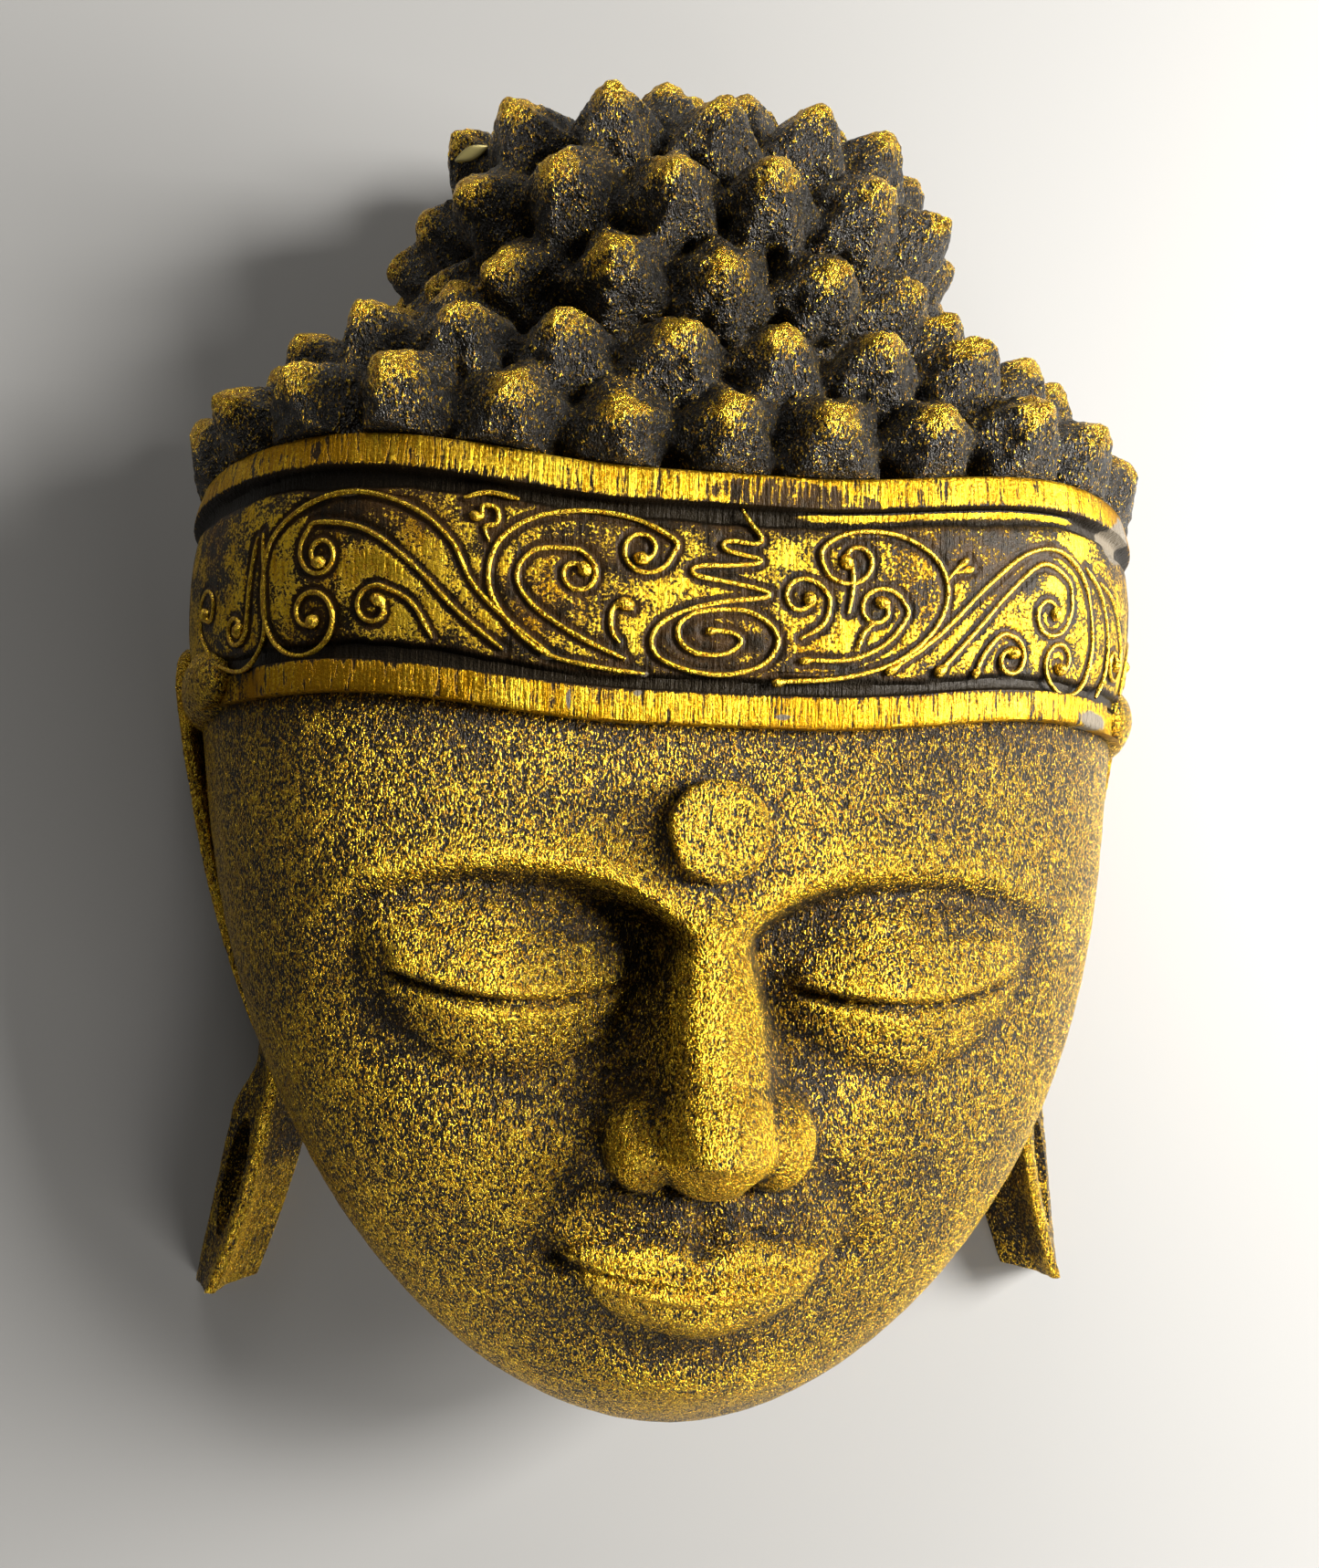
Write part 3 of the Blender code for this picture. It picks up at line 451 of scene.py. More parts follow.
def outline_half_width(y, block):
    """Half the width of a block's outline at a height."""
    reach = block["up"] if y > block["centre_y"] else block["down"]
    power = block["power_up"] if y > block["centre_y"] else block["power_down"]
    share = min(abs(y - block["centre_y"]) / reach, 1)
    return block["half_width"] * (1 - share**power) ** (1 / power)


def edge_height(turn, block):
    """Height of the outline above the back plane: higher under the chin than at the sides."""
    low = smooth_step(0.25, 1.0, -np.sin(turn))
    return block["edge_z"] + (block["low_edge_z"] - block["edge_z"]) * low


def outline_share(x, y, block):
    """How far out towards the outline a place is: 0 in the middle, 1 on it."""
    turn = np.arctan2(y - block["centre_y"], x)
    return np.hypot(x, y - block["centre_y"]) / outline_radius(turn, block)


def front_height(x, y, block):
    """Height of the block's plain front at a place inside its outline."""
    turn = np.arctan2(y - block["centre_y"], x)
    share = outline_share(x, y, block)
    up = smooth_step(-0.3, 0.5, np.sin(turn))
    fullness = block["fullness_down"] + (block["fullness_up"] - block["fullness_down"]) * up
    edge = edge_height(turn, block)
    rise = np.clip(1 - np.clip(share, 0, 1) ** fullness, 0, 1) ** (1 / EDGE_ROUNDING)
    return edge + (block["front_z"] - edge) * rise


def side_point(turn, drop, block):
    """A place on the wall between the outline, at drop 0, and behind the back, at drop 1."""
    edge = edge_height(turn, block)
    low = smooth_step(0.25, 1.0, -np.sin(turn))
    undercut = block["undercut"] + (block["low_undercut"] - block["undercut"]) * low
    radius = outline_radius(turn, block) - undercut * drop**1.5
    x = radius * np.cos(turn)
    y = radius * np.sin(turn) + block["centre_y"]
    return np.stack([x, y, edge - (edge + BACK_STOCK) * drop], axis=-1)


def block_normals(points, block):
    """Outward directions at places on a block's front or wall."""
    x, y = points[:, 0], points[:, 1]
    local_y = y - block["centre_y"]
    turn = np.arctan2(local_y, x)
    share = np.clip(np.hypot(x, local_y) / outline_radius(turn, block), 0, 1)
    step = 0.0005
    run = 2 * step
    slope_x = (front_height(x + step, y, block) - front_height(x - step, y, block)) / run
    slope_y = (front_height(x, y + step, block) - front_height(x, y - step, block)) / run
    front = np.stack([-slope_x, -slope_y, np.ones_like(x)], axis=-1)
    front /= np.linalg.norm(front, axis=1)[:, None]
    reach = np.where(local_y > 0, block["up"], block["down"])
    power = outline_power(turn, block) - 1
    across = np.sign(x) * (np.abs(x) / block["half_width"]) ** power / block["half_width"]
    along = np.sign(local_y) * (np.abs(local_y) / reach) ** power / reach
    wall = np.stack([across, along, np.zeros_like(x)], axis=-1)
    wall /= np.linalg.norm(wall, axis=1)[:, None] + 1e-9
    below_edge = smooth_step(0, SIDE_UNDERCUT, edge_height(turn, block) - points[:, 2])
    on_wall = np.maximum(smooth_step(0.93, 0.995, share), below_edge)[:, None]
    both = front * (1 - on_wall) + wall * on_wall
    return both / np.linalg.norm(both, axis=1)[:, None]


def band_bow(x):
    """How far the headband rises towards the temples."""
    return BAND_BOW * smooth_step(0.14, 0.70, np.abs(x) / HEAD_HALF_WIDTH)


def topknot_bow(x):
    """How far the topknot's rows rise towards its sides."""
    return TOPKNOT_ROW_BOW * (np.abs(x) / TOPKNOT_HALF_WIDTH) ** 2


# One part of the face canon, and the eye's width in parts. The functions below that shape the
# face work in parts: x out from the middle line, and y up from the headband's lower edge, so
# it is negative down the face.
PART = (BAND_BOTTOM_Y - CHIN_Y) / FACE_PARTS
EYE_WIDTH = 2 * HEAD_HALF_WIDTH * EYE_WIDTH_SHARE / PART


def brow_line(x):
    """The brow's edge: an arch from the nose's root, over the eye, to the temple."""
    from_peak = (np.sqrt(x**2 + 0.1) - 1.12 * EYE_WIDTH) / EYE_WIDTH
    outer = 0.766 * np.clip(from_peak, 0, 2) ** 2
    inner = 0.985 * np.clip(-from_peak, 0, 2) ** 3
    return -BROW_PARTS - outer - inner


def nose_half(y):
    """Half the width of the nose's ridge at a height."""
    along = np.clip((-BROW_PARTS - y) / (NOSE_PARTS - BROW_PARTS), 0, 1)
    return 0.547 - 0.161 * bell(along - 0.22, 0.22) + 0.146 * along**2


def socket_relief(x, y):
    """The hollow under each brow: deepest beside the nose, gone at the temple."""
    below = brow_line(x) - y
    edge = smooth_step(-0.06, 0.365, below)
    fade_down = 1 - smooth_step(0.88, 3.80, below)
    fade_out = 1 - smooth_step(1.15 * EYE_WIDTH, 2.05 * EYE_WIDTH, x)
    beside_nose = smooth_step(0.8, 1.9, x / nose_half(y))
    inner = 0.453 * bell(x - 0.34 * EYE_WIDTH, 0.40 * EYE_WIDTH)
    return -(0.336 + inner) * edge * fade_down * fade_out * beside_nose


def brow_relief(x, y):
    """A low ridge along the brow, running into the nose."""
    below = brow_line(x) - y
    fade_out = 1 - smooth_step(1.6 * EYE_WIDTH, 2.1 * EYE_WIDTH, x)
    return 0.102 * bell(below + 0.13, 0.263) * fade_out


def eye_relief(x, y):
    """A lowered lid over the eye's ball, with a long lash line and a low lid."""
    across = (x - 1.02 * EYE_WIDTH) / (0.60 * EYE_WIDTH)
    lash = -EYE_PARTS - 0.277 * (1 - across**2) + 0.073 * across
    ball = dome(across * 0.80, (y - lash - 0.255) / 1.255) ** 2.0
    ends = 1 - smooth_step(0.85, 1.06, np.abs(across))
    lid = smooth_step(-0.044, 0.044, y - lash) * bell(y - lash, 0.438) * ends
    crease = bell(y - lash + 0.029, 0.066) * ends
    low_lid = bell(y - lash + 0.219, 0.131) * ends
    fold = bell(y - lash - 0.912 + 0.292 * across**2, 0.073) * ends
    return 0.569 * ball + 0.080 * lid - 0.117 * crease + 0.044 * low_lid - 0.044 * fold


def nose_relief(x, y):
    """A straight nose with a rounded tip and two wings."""
    from_base = y + NOSE_PARTS
    along = np.clip((-BROW_PARTS - y) / (NOSE_PARTS - BROW_PARTS), -0.4, 1.1)
    height = 0.073 + 1.299 * np.clip(along, 0, 1.1) ** 1.2
    height = height * smooth_step(-0.30, 0.12, along)
    ridge = height * np.exp(-((x / (1.18 * nose_half(y))) ** 2.6))
    skirt = 0.30 * height * np.exp(-((x / (2.5 * nose_half(y))) ** 2.4))
    end = smooth_step(-0.073, 0.474, from_base)
    tip = 1.496 * dome(x / 0.876, (from_base - 0.657) / 0.876) ** 0.9
    wing = 0.891 * dome((x - 0.861) / 0.599, (from_base - 0.569) / 0.715)
    body = soft_max((ridge + skirt) * end, tip, 0.292)
    body = soft_max(body, wing, 0.219) - 0.058
    nostril = bell(x - 0.496, 0.219) * bell(from_base - 0.015, 0.161)
    return np.maximum(body, 0) - 0.117 * nostril


def mouth_relief(x, y):
    """Closed lips with slightly lifted corners, the groove above them and the chin below."""
    share = x / 1.912
    line = -MOUTH_PARTS - 0.044 + 0.248 * np.clip(share, 0, 1.2) ** 2.4
    from_line = y - line + 0.058 * bell(x, 0.438)
    across = np.clip(1 - share**2, 0, 1)
    top = 0.540 * across**0.75 - 0.102 * bell(x, 0.263)
    upper = dome((from_line - 0.36 * top) / (0.70 * top + 0.06)) ** 1.5 * across**0.50
    low_across = np.clip(1 - (share / 0.86) ** 2, 0, 1)
    fall = 0.672 * low_across**0.5
    lower = dome((from_line + 0.46 * fall) / (0.60 * fall + 0.06)) ** 1.5 * low_across**0.50
    parting = bell(from_line, 0.088) * (1 - smooth_step(0.95, 1.15, share))
    corner = bell(x - 2.065, 0.292) * bell(from_line - 0.029, 0.263)
    groove = bell(x, 0.204) * bell(from_line - 0.861, 0.336)
    ridges = bell(x - 0.336, 0.146) * bell(from_line - 0.861, 0.336)
    mound = bell(x, 2.190) * bell(from_line - 0.146, 1.460)
    under = bell(x, 1.241) * bell(from_line + 1.080, 0.336)
    chin = bell(x, 1.569) * bell(y + FACE_PARTS - 1.2, 0.861)
    lips = 0.300 * upper + 0.360 * lower
    around = 0.321 * mound - 0.190 * under + 0.380 * chin
    return lips + around - 0.131 * parting - 0.150 * corner - 0.088 * groove + 0.044 * ridges


def cheek_relief(x, y):
    """A soft fullness of the cheeks, and the fold from the nose's wing to the mouth."""
    full = 0.248 * bell(x - 3.358, 1.752) * bell(y + NOSE_PARTS - 0.9, 1.898)
    fold_y = y + NOSE_PARTS - 0.2
    fold_x = x - 1.642 + 0.55 * fold_y
    return full - 0.102 * bell(fold_x, 0.248) * bell(fold_y + 0.438, 0.766)


def face_relief(x, y):
    """Everything carved on the face, faded out under the headband and at the outline."""
    across = np.abs(x) / PART
    up = (y - BAND_BOTTOM_Y) / PART
    below = 1 - smooth_step(-0.15, 0.07, up - band_bow(x) / PART)
    flesh = socket_relief(across, up) + brow_relief(across, up) + eye_relief(across, up)
    flesh = flesh + mouth_relief(across, up) + cheek_relief(across, up)
    share = np.clip(outline_share(x, y, HEAD), 0, 1)
    inside = smooth_step(0.0, 0.35, np.sqrt(1 - share**2))
    return PART * below * inside * (flesh + nose_relief(across, up))


def level_line(block, level, bow):
    """Half of the line at one level: from the middle over the front and down the wall."""
    half = outline_half_width(level + float(bow(block["half_width"])), block)
    front_stops, wall_stops = LINE_STOPS
    x = half * np.sin(np.linspace(0, math.pi / 2, front_stops))
    y = level + bow(x)
    front = np.stack([x, y, front_height(x, y, block)], axis=-1)
    turn = math.atan2(y[-1] - block["centre_y"], half)
    wall = side_point(np.full(wall_stops, turn), np.linspace(0, 1, wall_stops), block)
    return np.concatenate([front, wall[1:]])


def running(steps):
    """How far along a line each of its points is, from the lengths of its steps."""
    return np.concatenate([[0], np.cumsum(steps)])


def places_at(stops, run, line):
    """The places on a line at these distances, where its own points are at run."""
    return np.stack([np.interp(stops, run, values) for values in line.T], axis=-1)


def run_of(line):
    """How far along a line each of its points is."""
    return running(np.linalg.norm(np.diff(line, axis=0), axis=1))


def along_line(line, stops):
    """Places at given distances along a line."""
    return places_at(stops, run_of(line), line)


def row_places(block, level, bow, pitch, offset):
    """Places a pitch apart along one level of a block, both sides, down to the outline."""
    line = level_line(block, level, bow)
    line = line[line[:, 2] >= block["edge_z"]]
    half_row = along_line(line, np.arange(offset * pitch, run_of(line)[-1], pitch))
    mirrored = half_row[half_row[:, 0] > 0.001] * MIRROR
    return np.concatenate([half_row, mirrored])


def arc_places(block, share, pitch):
    """Places a pitch apart round a block's front, at a share of the way to its outline."""
    turns = np.linspace(0, math.pi, ARC_STOPS)
    radius = share * outline_radius(turns, block)
    x = radius * np.cos(turns)
    y = radius * np.sin(turns) + block["centre_y"]
    line = np.stack([x, y, front_height(x, y, block)], axis=-1)
    return along_line(line, np.arange(0, run_of(line)[-1], pitch))


def wall_places(block, height, pitch):
    """Places a pitch apart along a block's wall, at a height above the back plane."""
    turns = np.linspace(0, math.pi, ARC_STOPS)
    drop = (block["edge_z"] - height) / (block["edge_z"] + BACK_STOCK)
    line = side_point(turns, np.full_like(turns, drop), block)
    return along_line(line, np.arange(0, run_of(line)[-1], pitch))


def inside_block(places, block, margin):
    """Which places lie inside a block by more than a margin."""
    x, y = places[:, 0], places[:, 1] - block["centre_y"]
    radius = outline_radius(np.arctan2(y, x), block)
    within = np.hypot(x, y) < radius - margin
    below = places[:, 2] < front_height(places[:, 0], places[:, 1], block) - margin
    return within & below


def spread_out(places, least):
    """The indices of places that keep their least distance from every place before them."""
    kept = []
    for index, place in enumerate(places):
        if all(np.linalg.norm(place - places[other]) > least[index] for other in kept):
            kept.append(index)
    return kept


def knob_places():
    """Every hair knob's place and direction: the rows first, then knobs that fill the gaps."""
    found = []
    for index, level in enumerate(HEAD_ROWS_Y):
        places = row_places(HEAD, level, band_bow, KNOB_PITCH, 0.5 * (index % 2))
        found.append((places, HEAD, LEAST_ROW_GAP))
    side_row = row_places(HEAD, SIDE_ROW_Y, band_bow, KNOB_PITCH, 0.25)
    found.append((side_row[np.abs(side_row[:, 0]) > SIDE_ROW_X], HEAD, LEAST_ROW_GAP))
    for index, level in enumerate(TOPKNOT_ROWS_Y):
        places = row_places(TOPKNOT, level, topknot_bow, KNOB_PITCH, 0.5 * (index % 2))
        found.append((places, TOPKNOT, LEAST_ROW_GAP))
    for height in FILLING_WALL_Z:
        for block in (TOPKNOT, HEAD):
            found.append((wall_places(block, height, FILLING_PITCH), block, LEAST_FILLING_GAP))
    for share in FILLING_SHARES:
        for block in (TOPKNOT, HEAD):
            found.append((arc_places(block, share, FILLING_PITCH), block, LEAST_FILLING_GAP))
    places, normals, least = [], [], []
    for group, block, gap in found:
        other = TOPKNOT if block is HEAD else HEAD
        over_band = group[:, 1] - band_bow(group[:, 0]) > BAND_TOP_Y + LOWEST_KNOB
        group = group[over_band & ~inside_block(group, other, -0.003)]
        places.append(group)
        normals.append(block_normals(group, block))
        least.append(np.full(len(group), gap))
    places, normals, least = [np.concatenate(lists) for lists in (places, normals, least)]
    kept = spread_out(places, least)
    return places[kept], normals[kept]


def ear_marks(y):
    """The ear's ridge, its outer lip and its inner foot at a height: each an (x, z) pair."""
    side = outline_half_width(y, HEAD)
    rounding = max(y - (EAR_TOP_Y - EAR_TOP_ROUNDING), 0) / EAR_TOP_ROUNDING
    rise = math.sqrt(max(1 - rounding**2, 0.04))
    ridge_x = side + EAR_RIDGE_OUT + EAR_TOP_OUT * float(smooth_step(*EAR_TOP_SPAN, y))
    ridge_z = EAR_RIDGE_Z * rise
    ear = np.array([ridge_x, ridge_z, ridge_x + EAR_LIP_OUT, 0.62 * ridge_z, side - EAR_FOOT_IN, 0])
    share = np.clip((LOBE_START_Y - y) / (LOBE_START_Y - LOBE_END_Y), 0, 1)
    lobe = np.array([
        LOBE_RIDGE_X + LOBE_SPLAY * share**1.8,
        EAR_RIDGE_Z + (LOBE_END_RIDGE_Z - EAR_RIDGE_Z) * share**1.5,
        LOBE_LIP_X + LOBE_LIP_SPLAY * share,
        LOBE_LIP_Z + (LOBE_END_LIP_Z - LOBE_LIP_Z) * share,
        LOBE_INNER_X + LOBE_INNER_SPLAY * share**1.5,
        0,
    ])
    blend = float(smooth_step(LOBE_START_Y + LOBE_BLEND, LOBE_START_Y - LOBE_BLEND, y))
    marks = ear * (1 - blend) + lobe * blend
    return marks[0:2], marks[2:4], marks[4:6]


def ear_section(y):
    """One cross-section of the right ear."""
    ridge, lip, foot = ear_marks(y)
    edge = EAR_EDGE
    middle = 0.5 * (ridge + foot) + np.array([1.5 * edge, 0.5 * edge])
    corners = [
        (foot[0], -BACK_STOCK),
        (foot[0], foot[1]),
        tuple(middle),
        (ridge[0] - 1.2 * edge, ridge[1]),
        (ridge[0] + edge, ridge[1] - 0.6 * edge),
        tuple(0.5 * (ridge + lip)),
        tuple(lip),
        (lip[0] + 0.4 * edge, max(lip[1] - 3 * edge, 0.0)),
        (lip[0] - 0.6 * edge, -BACK_STOCK),
    ]
    return [(x, y, z) for x, z in corners]


def lumps(points, size, seed, stretch=(1, 1, 1)):
    """Soft random values between -1 and 1 at places, with lumps of about this size."""
    shift = Vector((seed * 7.3, seed * 3.1, seed * 5.7))
    scaled = points / (np.array(stretch) * size)
    return np.array([noise.noise(Vector(place) + shift) for place in scaled])


def unevenness(points, layers):
    """How far a carved skin stands out at places, from its layers of lumps."""
    return sum(depth * lumps(points, *layer) for depth, *layer in layers)


def new_piece(name, skin):
    """An object in the scene that holds this bmesh."""
    mesh = bpy.data.meshes.new(name)
    skin.to_mesh(mesh)
    skin.free()
    piece = bpy.data.objects.new(name, mesh)
    bpy.context.scene.collection.objects.link(piece)
    return piece


def points_of(mesh):
    """A mesh's vertices as rows of x, y, z."""
    flat = np.zeros(len(mesh.vertices) * 3)
    mesh.vertices.foreach_get("co", flat)
    return flat.reshape(-1, 3)


def normals_of(mesh):
    """A mesh's vertex normals as rows of x, y, z."""
    flat = np.zeros(len(mesh.vertices) * 3)
    mesh.vertex_normals.foreach_get("vector", flat)
    return flat.reshape(-1, 3)


def move_points(mesh, points):
    """Puts a mesh's vertices at these places."""
    mesh.vertices.foreach_set("co", points.astype(np.float32).ravel())
    mesh.update()


def store(mesh, name, values):
    """Keeps one number a vertex, for the materials."""
    layer = mesh.attributes.new(name, "FLOAT", "POINT")
    layer.data.foreach_set("value", np.asarray(values, np.float32))


def discard(*things):
    """Deletes helper objects."""
    for thing in things:
        bpy.data.objects.remove(thing)


def new_ball(columns, rows, radius=0.5):
    """A ball, to be shaped."""
    ball = bmesh.new()
    bmesh.ops.create_uvsphere(ball, u_segments=columns, v_segments=rows, radius=radius)
    return ball


def apply_modifiers(piece):
    """Makes the shape with its modifiers the piece's own mesh."""
    bpy.context.view_layer.update()
    shaped = piece.evaluated_get(bpy.context.evaluated_depsgraph_get())
    mesh = bpy.data.meshes.new_from_object(shaped)
    piece.modifiers.clear()
    piece.data = mesh
    return piece


def remesh(piece, size):
    """One closed skin round everything in the piece."""
    skin = piece.modifiers.new("skin", "REMESH")
    skin.mode = "VOXEL"
    skin.voxel_size = size
    return apply_modifiers(piece)


def cut(piece, cutters):
    """Takes the cutters' shapes away from a closed piece."""
    for cutter in cutters:
        change = piece.modifiers.new(cutter.name, "BOOLEAN")
        change.operation = "DIFFERENCE"
        change.solver = "MANIFOLD"
        change.object = cutter
    return apply_modifiers(piece)


def loft(name, sections):
    """A closed solid through cross-sections that have equal numbers of points."""
    skin = bmesh.new()
    rings = [[skin.verts.new(point) for point in section] for section in sections]
    for near, far in zip(rings, rings[1:]):
        for index in range(len(near)):
            after = (index + 1) % len(near)
            skin.faces.new((near[index], near[after], far[after], far[index]))
    skin.faces.new(rings[0])
    skin.faces.new(rings[-1])
    bmesh.ops.remove_doubles(skin, verts=skin.verts, dist=1e-6)
    bmesh.ops.recalc_face_normals(skin, faces=skin.faces)
    return new_piece(name, skin)


def make_box(name, low, high):
    """A plain box, used as a cutter."""
    skin = bmesh.new()
    bmesh.ops.create_cube(skin, size=1)
    low, high = Vector(low), Vector(high)
    size = Matrix.Diagonal((*(high - low), 1))
    skin.transform(Matrix.Translation((low + high) / 2) @ size)
    return new_piece(name, skin)


def make_block(name, block, sides, rings):
    """A closed block with its front, its walls and a back behind the back plane."""
    ball = new_ball(sides, rings, 1)
    directions = np.array([v.co for v in ball.verts])
    turn = np.arctan2(directions[:, 1], directions[:, 0])
    lift = np.arcsin(np.clip(directions[:, 2], -1, 1))
    radius = outline_radius(turn, block) * np.cos(np.maximum(lift, 0))
    x = radius * np.cos(turn)
    y = radius * np.sin(turn) + block["centre_y"]
    z = front_height(x, y, block)
    drop = np.clip(-lift / math.radians(60), 0, 1)
    wall = side_point(turn, drop, block)
    closing = np.clip((math.radians(90) + lift) / math.radians(30), 0, 1)
    wall[:, 0] *= closing
    wall[:, 1] = block["centre_y"] + (wall[:, 1] - block["centre_y"]) * closing
    places = np.where((lift >= 0)[:, None], np.stack([x, y, z], axis=-1), wall)
    for vertex, place in zip(ball.verts, places):
        vertex.co = place
    return new_piece(name, ball)


def join(name, things):
    """One object that holds the meshes of several."""
    together = bmesh.new()
    for thing in things:
        together.from_mesh(thing.data)
    discard(*things)
    return new_piece(name, together)


def mark_faces(piece, slots, chosen):
    """Gives the piece its materials, and the second one to the faces that are chosen."""
    piece.data.materials.clear()
    for material in slots:
        piece.data.materials.append(material)
    piece.data.polygons.foreach_set("material_index", np.asarray(chosen, np.int32))


def face_middles(mesh):
    """The middles and normals of a mesh's faces."""
    middle = np.zeros(len(mesh.polygons) * 3)
    normal = np.zeros(len(mesh.polygons) * 3)
    mesh.polygons.foreach_get("center", middle)
    mesh.polygons.foreach_get("normal", normal)
    return middle.reshape(-1, 3), normal.reshape(-1, 3)


def on_the_back(mesh):
    """Which faces lie on the flat back or in the hollow."""
    middle, normal = face_middles(mesh)
    flat = (middle[:, 2] < 0.0002) & (normal[:, 2] < -0.9)
    x, y = middle[:, 0], middle[:, 1]
    inside = outline_share(x, y, HOLLOW) < 1.02
    depth = front_height(x, y, HOLLOW) - middle[:, 2]
    return flat | (inside & (depth > -0.002) & (normal[:, 2] < 0.3))


def smooth_shade(piece, degrees=38):
    """Smooth faces, with crisp edges where the surface turns sharply."""
    piece.data.shade_smooth()
    piece.data.set_sharp_from_angle(angle=math.radians(degrees))


def face_row(turn):
    """One row of the face piece: from the middle over the front and down the wall."""
    radius = float(outline_radius(turn, HEAD))
    half = max(radius * math.cos(turn), 0)
    y = radius * math.sin(turn) + HEAD["centre_y"]
    front_stops, wall_stops = FACE_LINE_STOPS
    x = half * np.sin(np.linspace(0, math.pi / 2, front_stops))
    level = np.full_like(x, y)
    z = front_height(x, level, HEAD) + face_relief(x, level)
    front = np.stack([x, level, z], axis=-1)
    wall = side_point(np.full(wall_stops, turn), np.linspace(0, 1, wall_stops), HEAD)
    line = np.concatenate([front, wall[1:]])
    steps = np.linalg.norm(np.diff(line, axis=0), axis=1)
    steps[len(front) - 1:] *= FACE_WALL_SHARE
    run = running(steps)
    half_row = places_at(np.linspace(0, run[-1], FACE_FRONT_COLUMNS + 1), run, line)
    mirrored = half_row[:0:-1] * MIRROR
    return np.concatenate([mirrored, half_row])


def face_turns():
    """The outline's angles for the rows: coarse under the headband, fine down to the chin."""
    turns = np.linspace(math.atan2(BAND_MIDDLE_Y - WIDEST_Y, HEAD_HALF_WIDTH), -math.pi / 2, 4000)
    radius = outline_radius(turns, HEAD)
    across, along = radius * np.cos(turns), radius * np.sin(turns)
    steps = np.hypot(np.diff(across), np.diff(along))
    level = along[1:] + WIDEST_Y
    steps = steps * np.where(level > 0, 0.25, 1) * np.where(level < CHIN_Y + 0.004, 0.4, 1)
    run = running(steps)
    return np.interp(np.linspace(0, run[-1], FACE_ROWS), run, turns)


def proud(x, y, reach):
    """How far the face's relief stands over its surroundings, a reach away."""
    around, ways = 0, 8
    for step in range(ways):
        angle = math.tau * step / ways
        around = around + face_relief(x + reach * math.cos(angle), y + reach * math.sin(angle))
    return face_relief(x, y) - around / ways


def face_gilt_and_painted_shade(points):
    """How thickly gold was rubbed on the face: most on ridges and edges, least in hollows, less down
    the forehead under the headband and on the walls below the outline. It also holds painted
    shade: a thin dark strip right under the headband's lower rim and a dark ring round the dot.
    """
    x, y = points[:, 0], points[:, 1]
    share = outline_share(x, y, HEAD)
    below_band = BAND_BOTTOM_Y + band_bow(x) - y
    gilt_and_painted_light = FACE_GILT
    for weight, reach in FACE_RIDGES:
        gilt_and_painted_light = gilt_and_painted_light + weight * proud(x, y, reach)
    for worn_x, worn_y, reach, amount in FACE_WEAR:
        gilt_and_painted_light = gilt_and_painted_light - amount * bell(np.hypot(x - worn_x, 1.6 * (y - worn_y)), reach)
    gilt_and_painted_light = gilt_and_painted_light + 0.22 * smooth_step(0.86, 1.0, share)
    gilt_and_painted_light = gilt_and_painted_light - 0.20 * bell(np.maximum(below_band, 0), 0.011)
    # Painted shade: a thin dark strip right under the headband's lower rim.
    gilt_and_painted_light = gilt_and_painted_light - 0.32 * bell(np.maximum(below_band - 0.0006, 0), 0.0018)
    under = smooth_step(0.004, 0.02, edge_height(np.arctan2(y - WIDEST_Y, x), HEAD) - points[:, 2])
    gilt_and_painted_light = gilt_and_painted_light - 0.25 * under * (share > 0.9)
    # Painted shade: a dark ring on the forehead round the dot's foot.
    from_dot = np.hypot(x, y - DOT_Y)
    gilt_and_painted_light = gilt_and_painted_light - 0.35 * bell(np.maximum(from_dot - DOT_RADIUS, 0), 0.0022)
    return np.clip(gilt_and_painted_light, 0.05, 0.98)


def make_face(materials, cutters):
    """The face with its jaw, walls and the lower part of the hollow back."""
    rows = [face_row(turn) for turn in face_turns()]
    rows[-1][:, 0] = 0
    points = np.array(rows)
    flat = points.reshape(-1, 3)
    normals = block_normals(flat + 1e-7, HEAD)
    rough = unevenness(flat, FACE_SKIN)
    on_face = smooth_step(0.002, 0.006, flat[:, 2]) * (np.abs(flat[:, 0]) > 1e-5)
    flat = flat + normals * (rough * on_face)[:, None]
    piece = loft("carved_face", flat.reshape(points.shape))
    cut(piece, cutters)
    mesh = piece.data
    store(mesh, "gilt_and_painted_light", face_gilt_and_painted_shade(points_of(mesh)))
    mark_faces(piece, materials, on_the_back(mesh))
    smooth_shade(piece)
    return piece


def make_knob(name, place, direction, rng):
    """One pointed knob, cut with four to six soft flats that meet near its tip."""
    ball = new_ball(24, 18, 1)
    radius = KNOB_RADIUS * rng.uniform(*KNOB_RADIUS_RANGE)
    height = KNOB_HEIGHT * rng.uniform(*KNOB_HEIGHT_RANGE)
    twist = rng.uniform(0, math.tau)
    flats = 4 + int(twist * 10) % 3
    lean_x, lean_y = KNOB_LEAN * math.sin(9 * twist), KNOB_LEAN * math.cos(13 * twist)
    for vertex in ball.verts:
        rise = max(vertex.co.z, 0)
        level = math.sqrt(max(1 - rise**2, 1e-6))
        angle = math.atan2(vertex.co.y, vertex.co.x)
        slim = radius * (KNOB_SLOPE * (1 - rise) / level + 1 - KNOB_SLOPE)
        slim *= 1 + KNOB_FLATNESS * math.cos(flats * angle) * (1 - 0.4 * rise)
        vertex.co.x = vertex.co.x * slim + lean_x * rise**2
        vertex.co.y = vertex.co.y * slim + lean_y * rise**2
        vertex.co.z = rise * height if rise else -KNOB_SINK
    turn = Vector(direction).to_track_quat("Z", "Y").to_matrix().to_4x4()
    ball.transform(Matrix.Translation(Vector(place)) @ turn @ Matrix.Rotation(twist, 4, "Z"))
    return new_piece(name, ball)


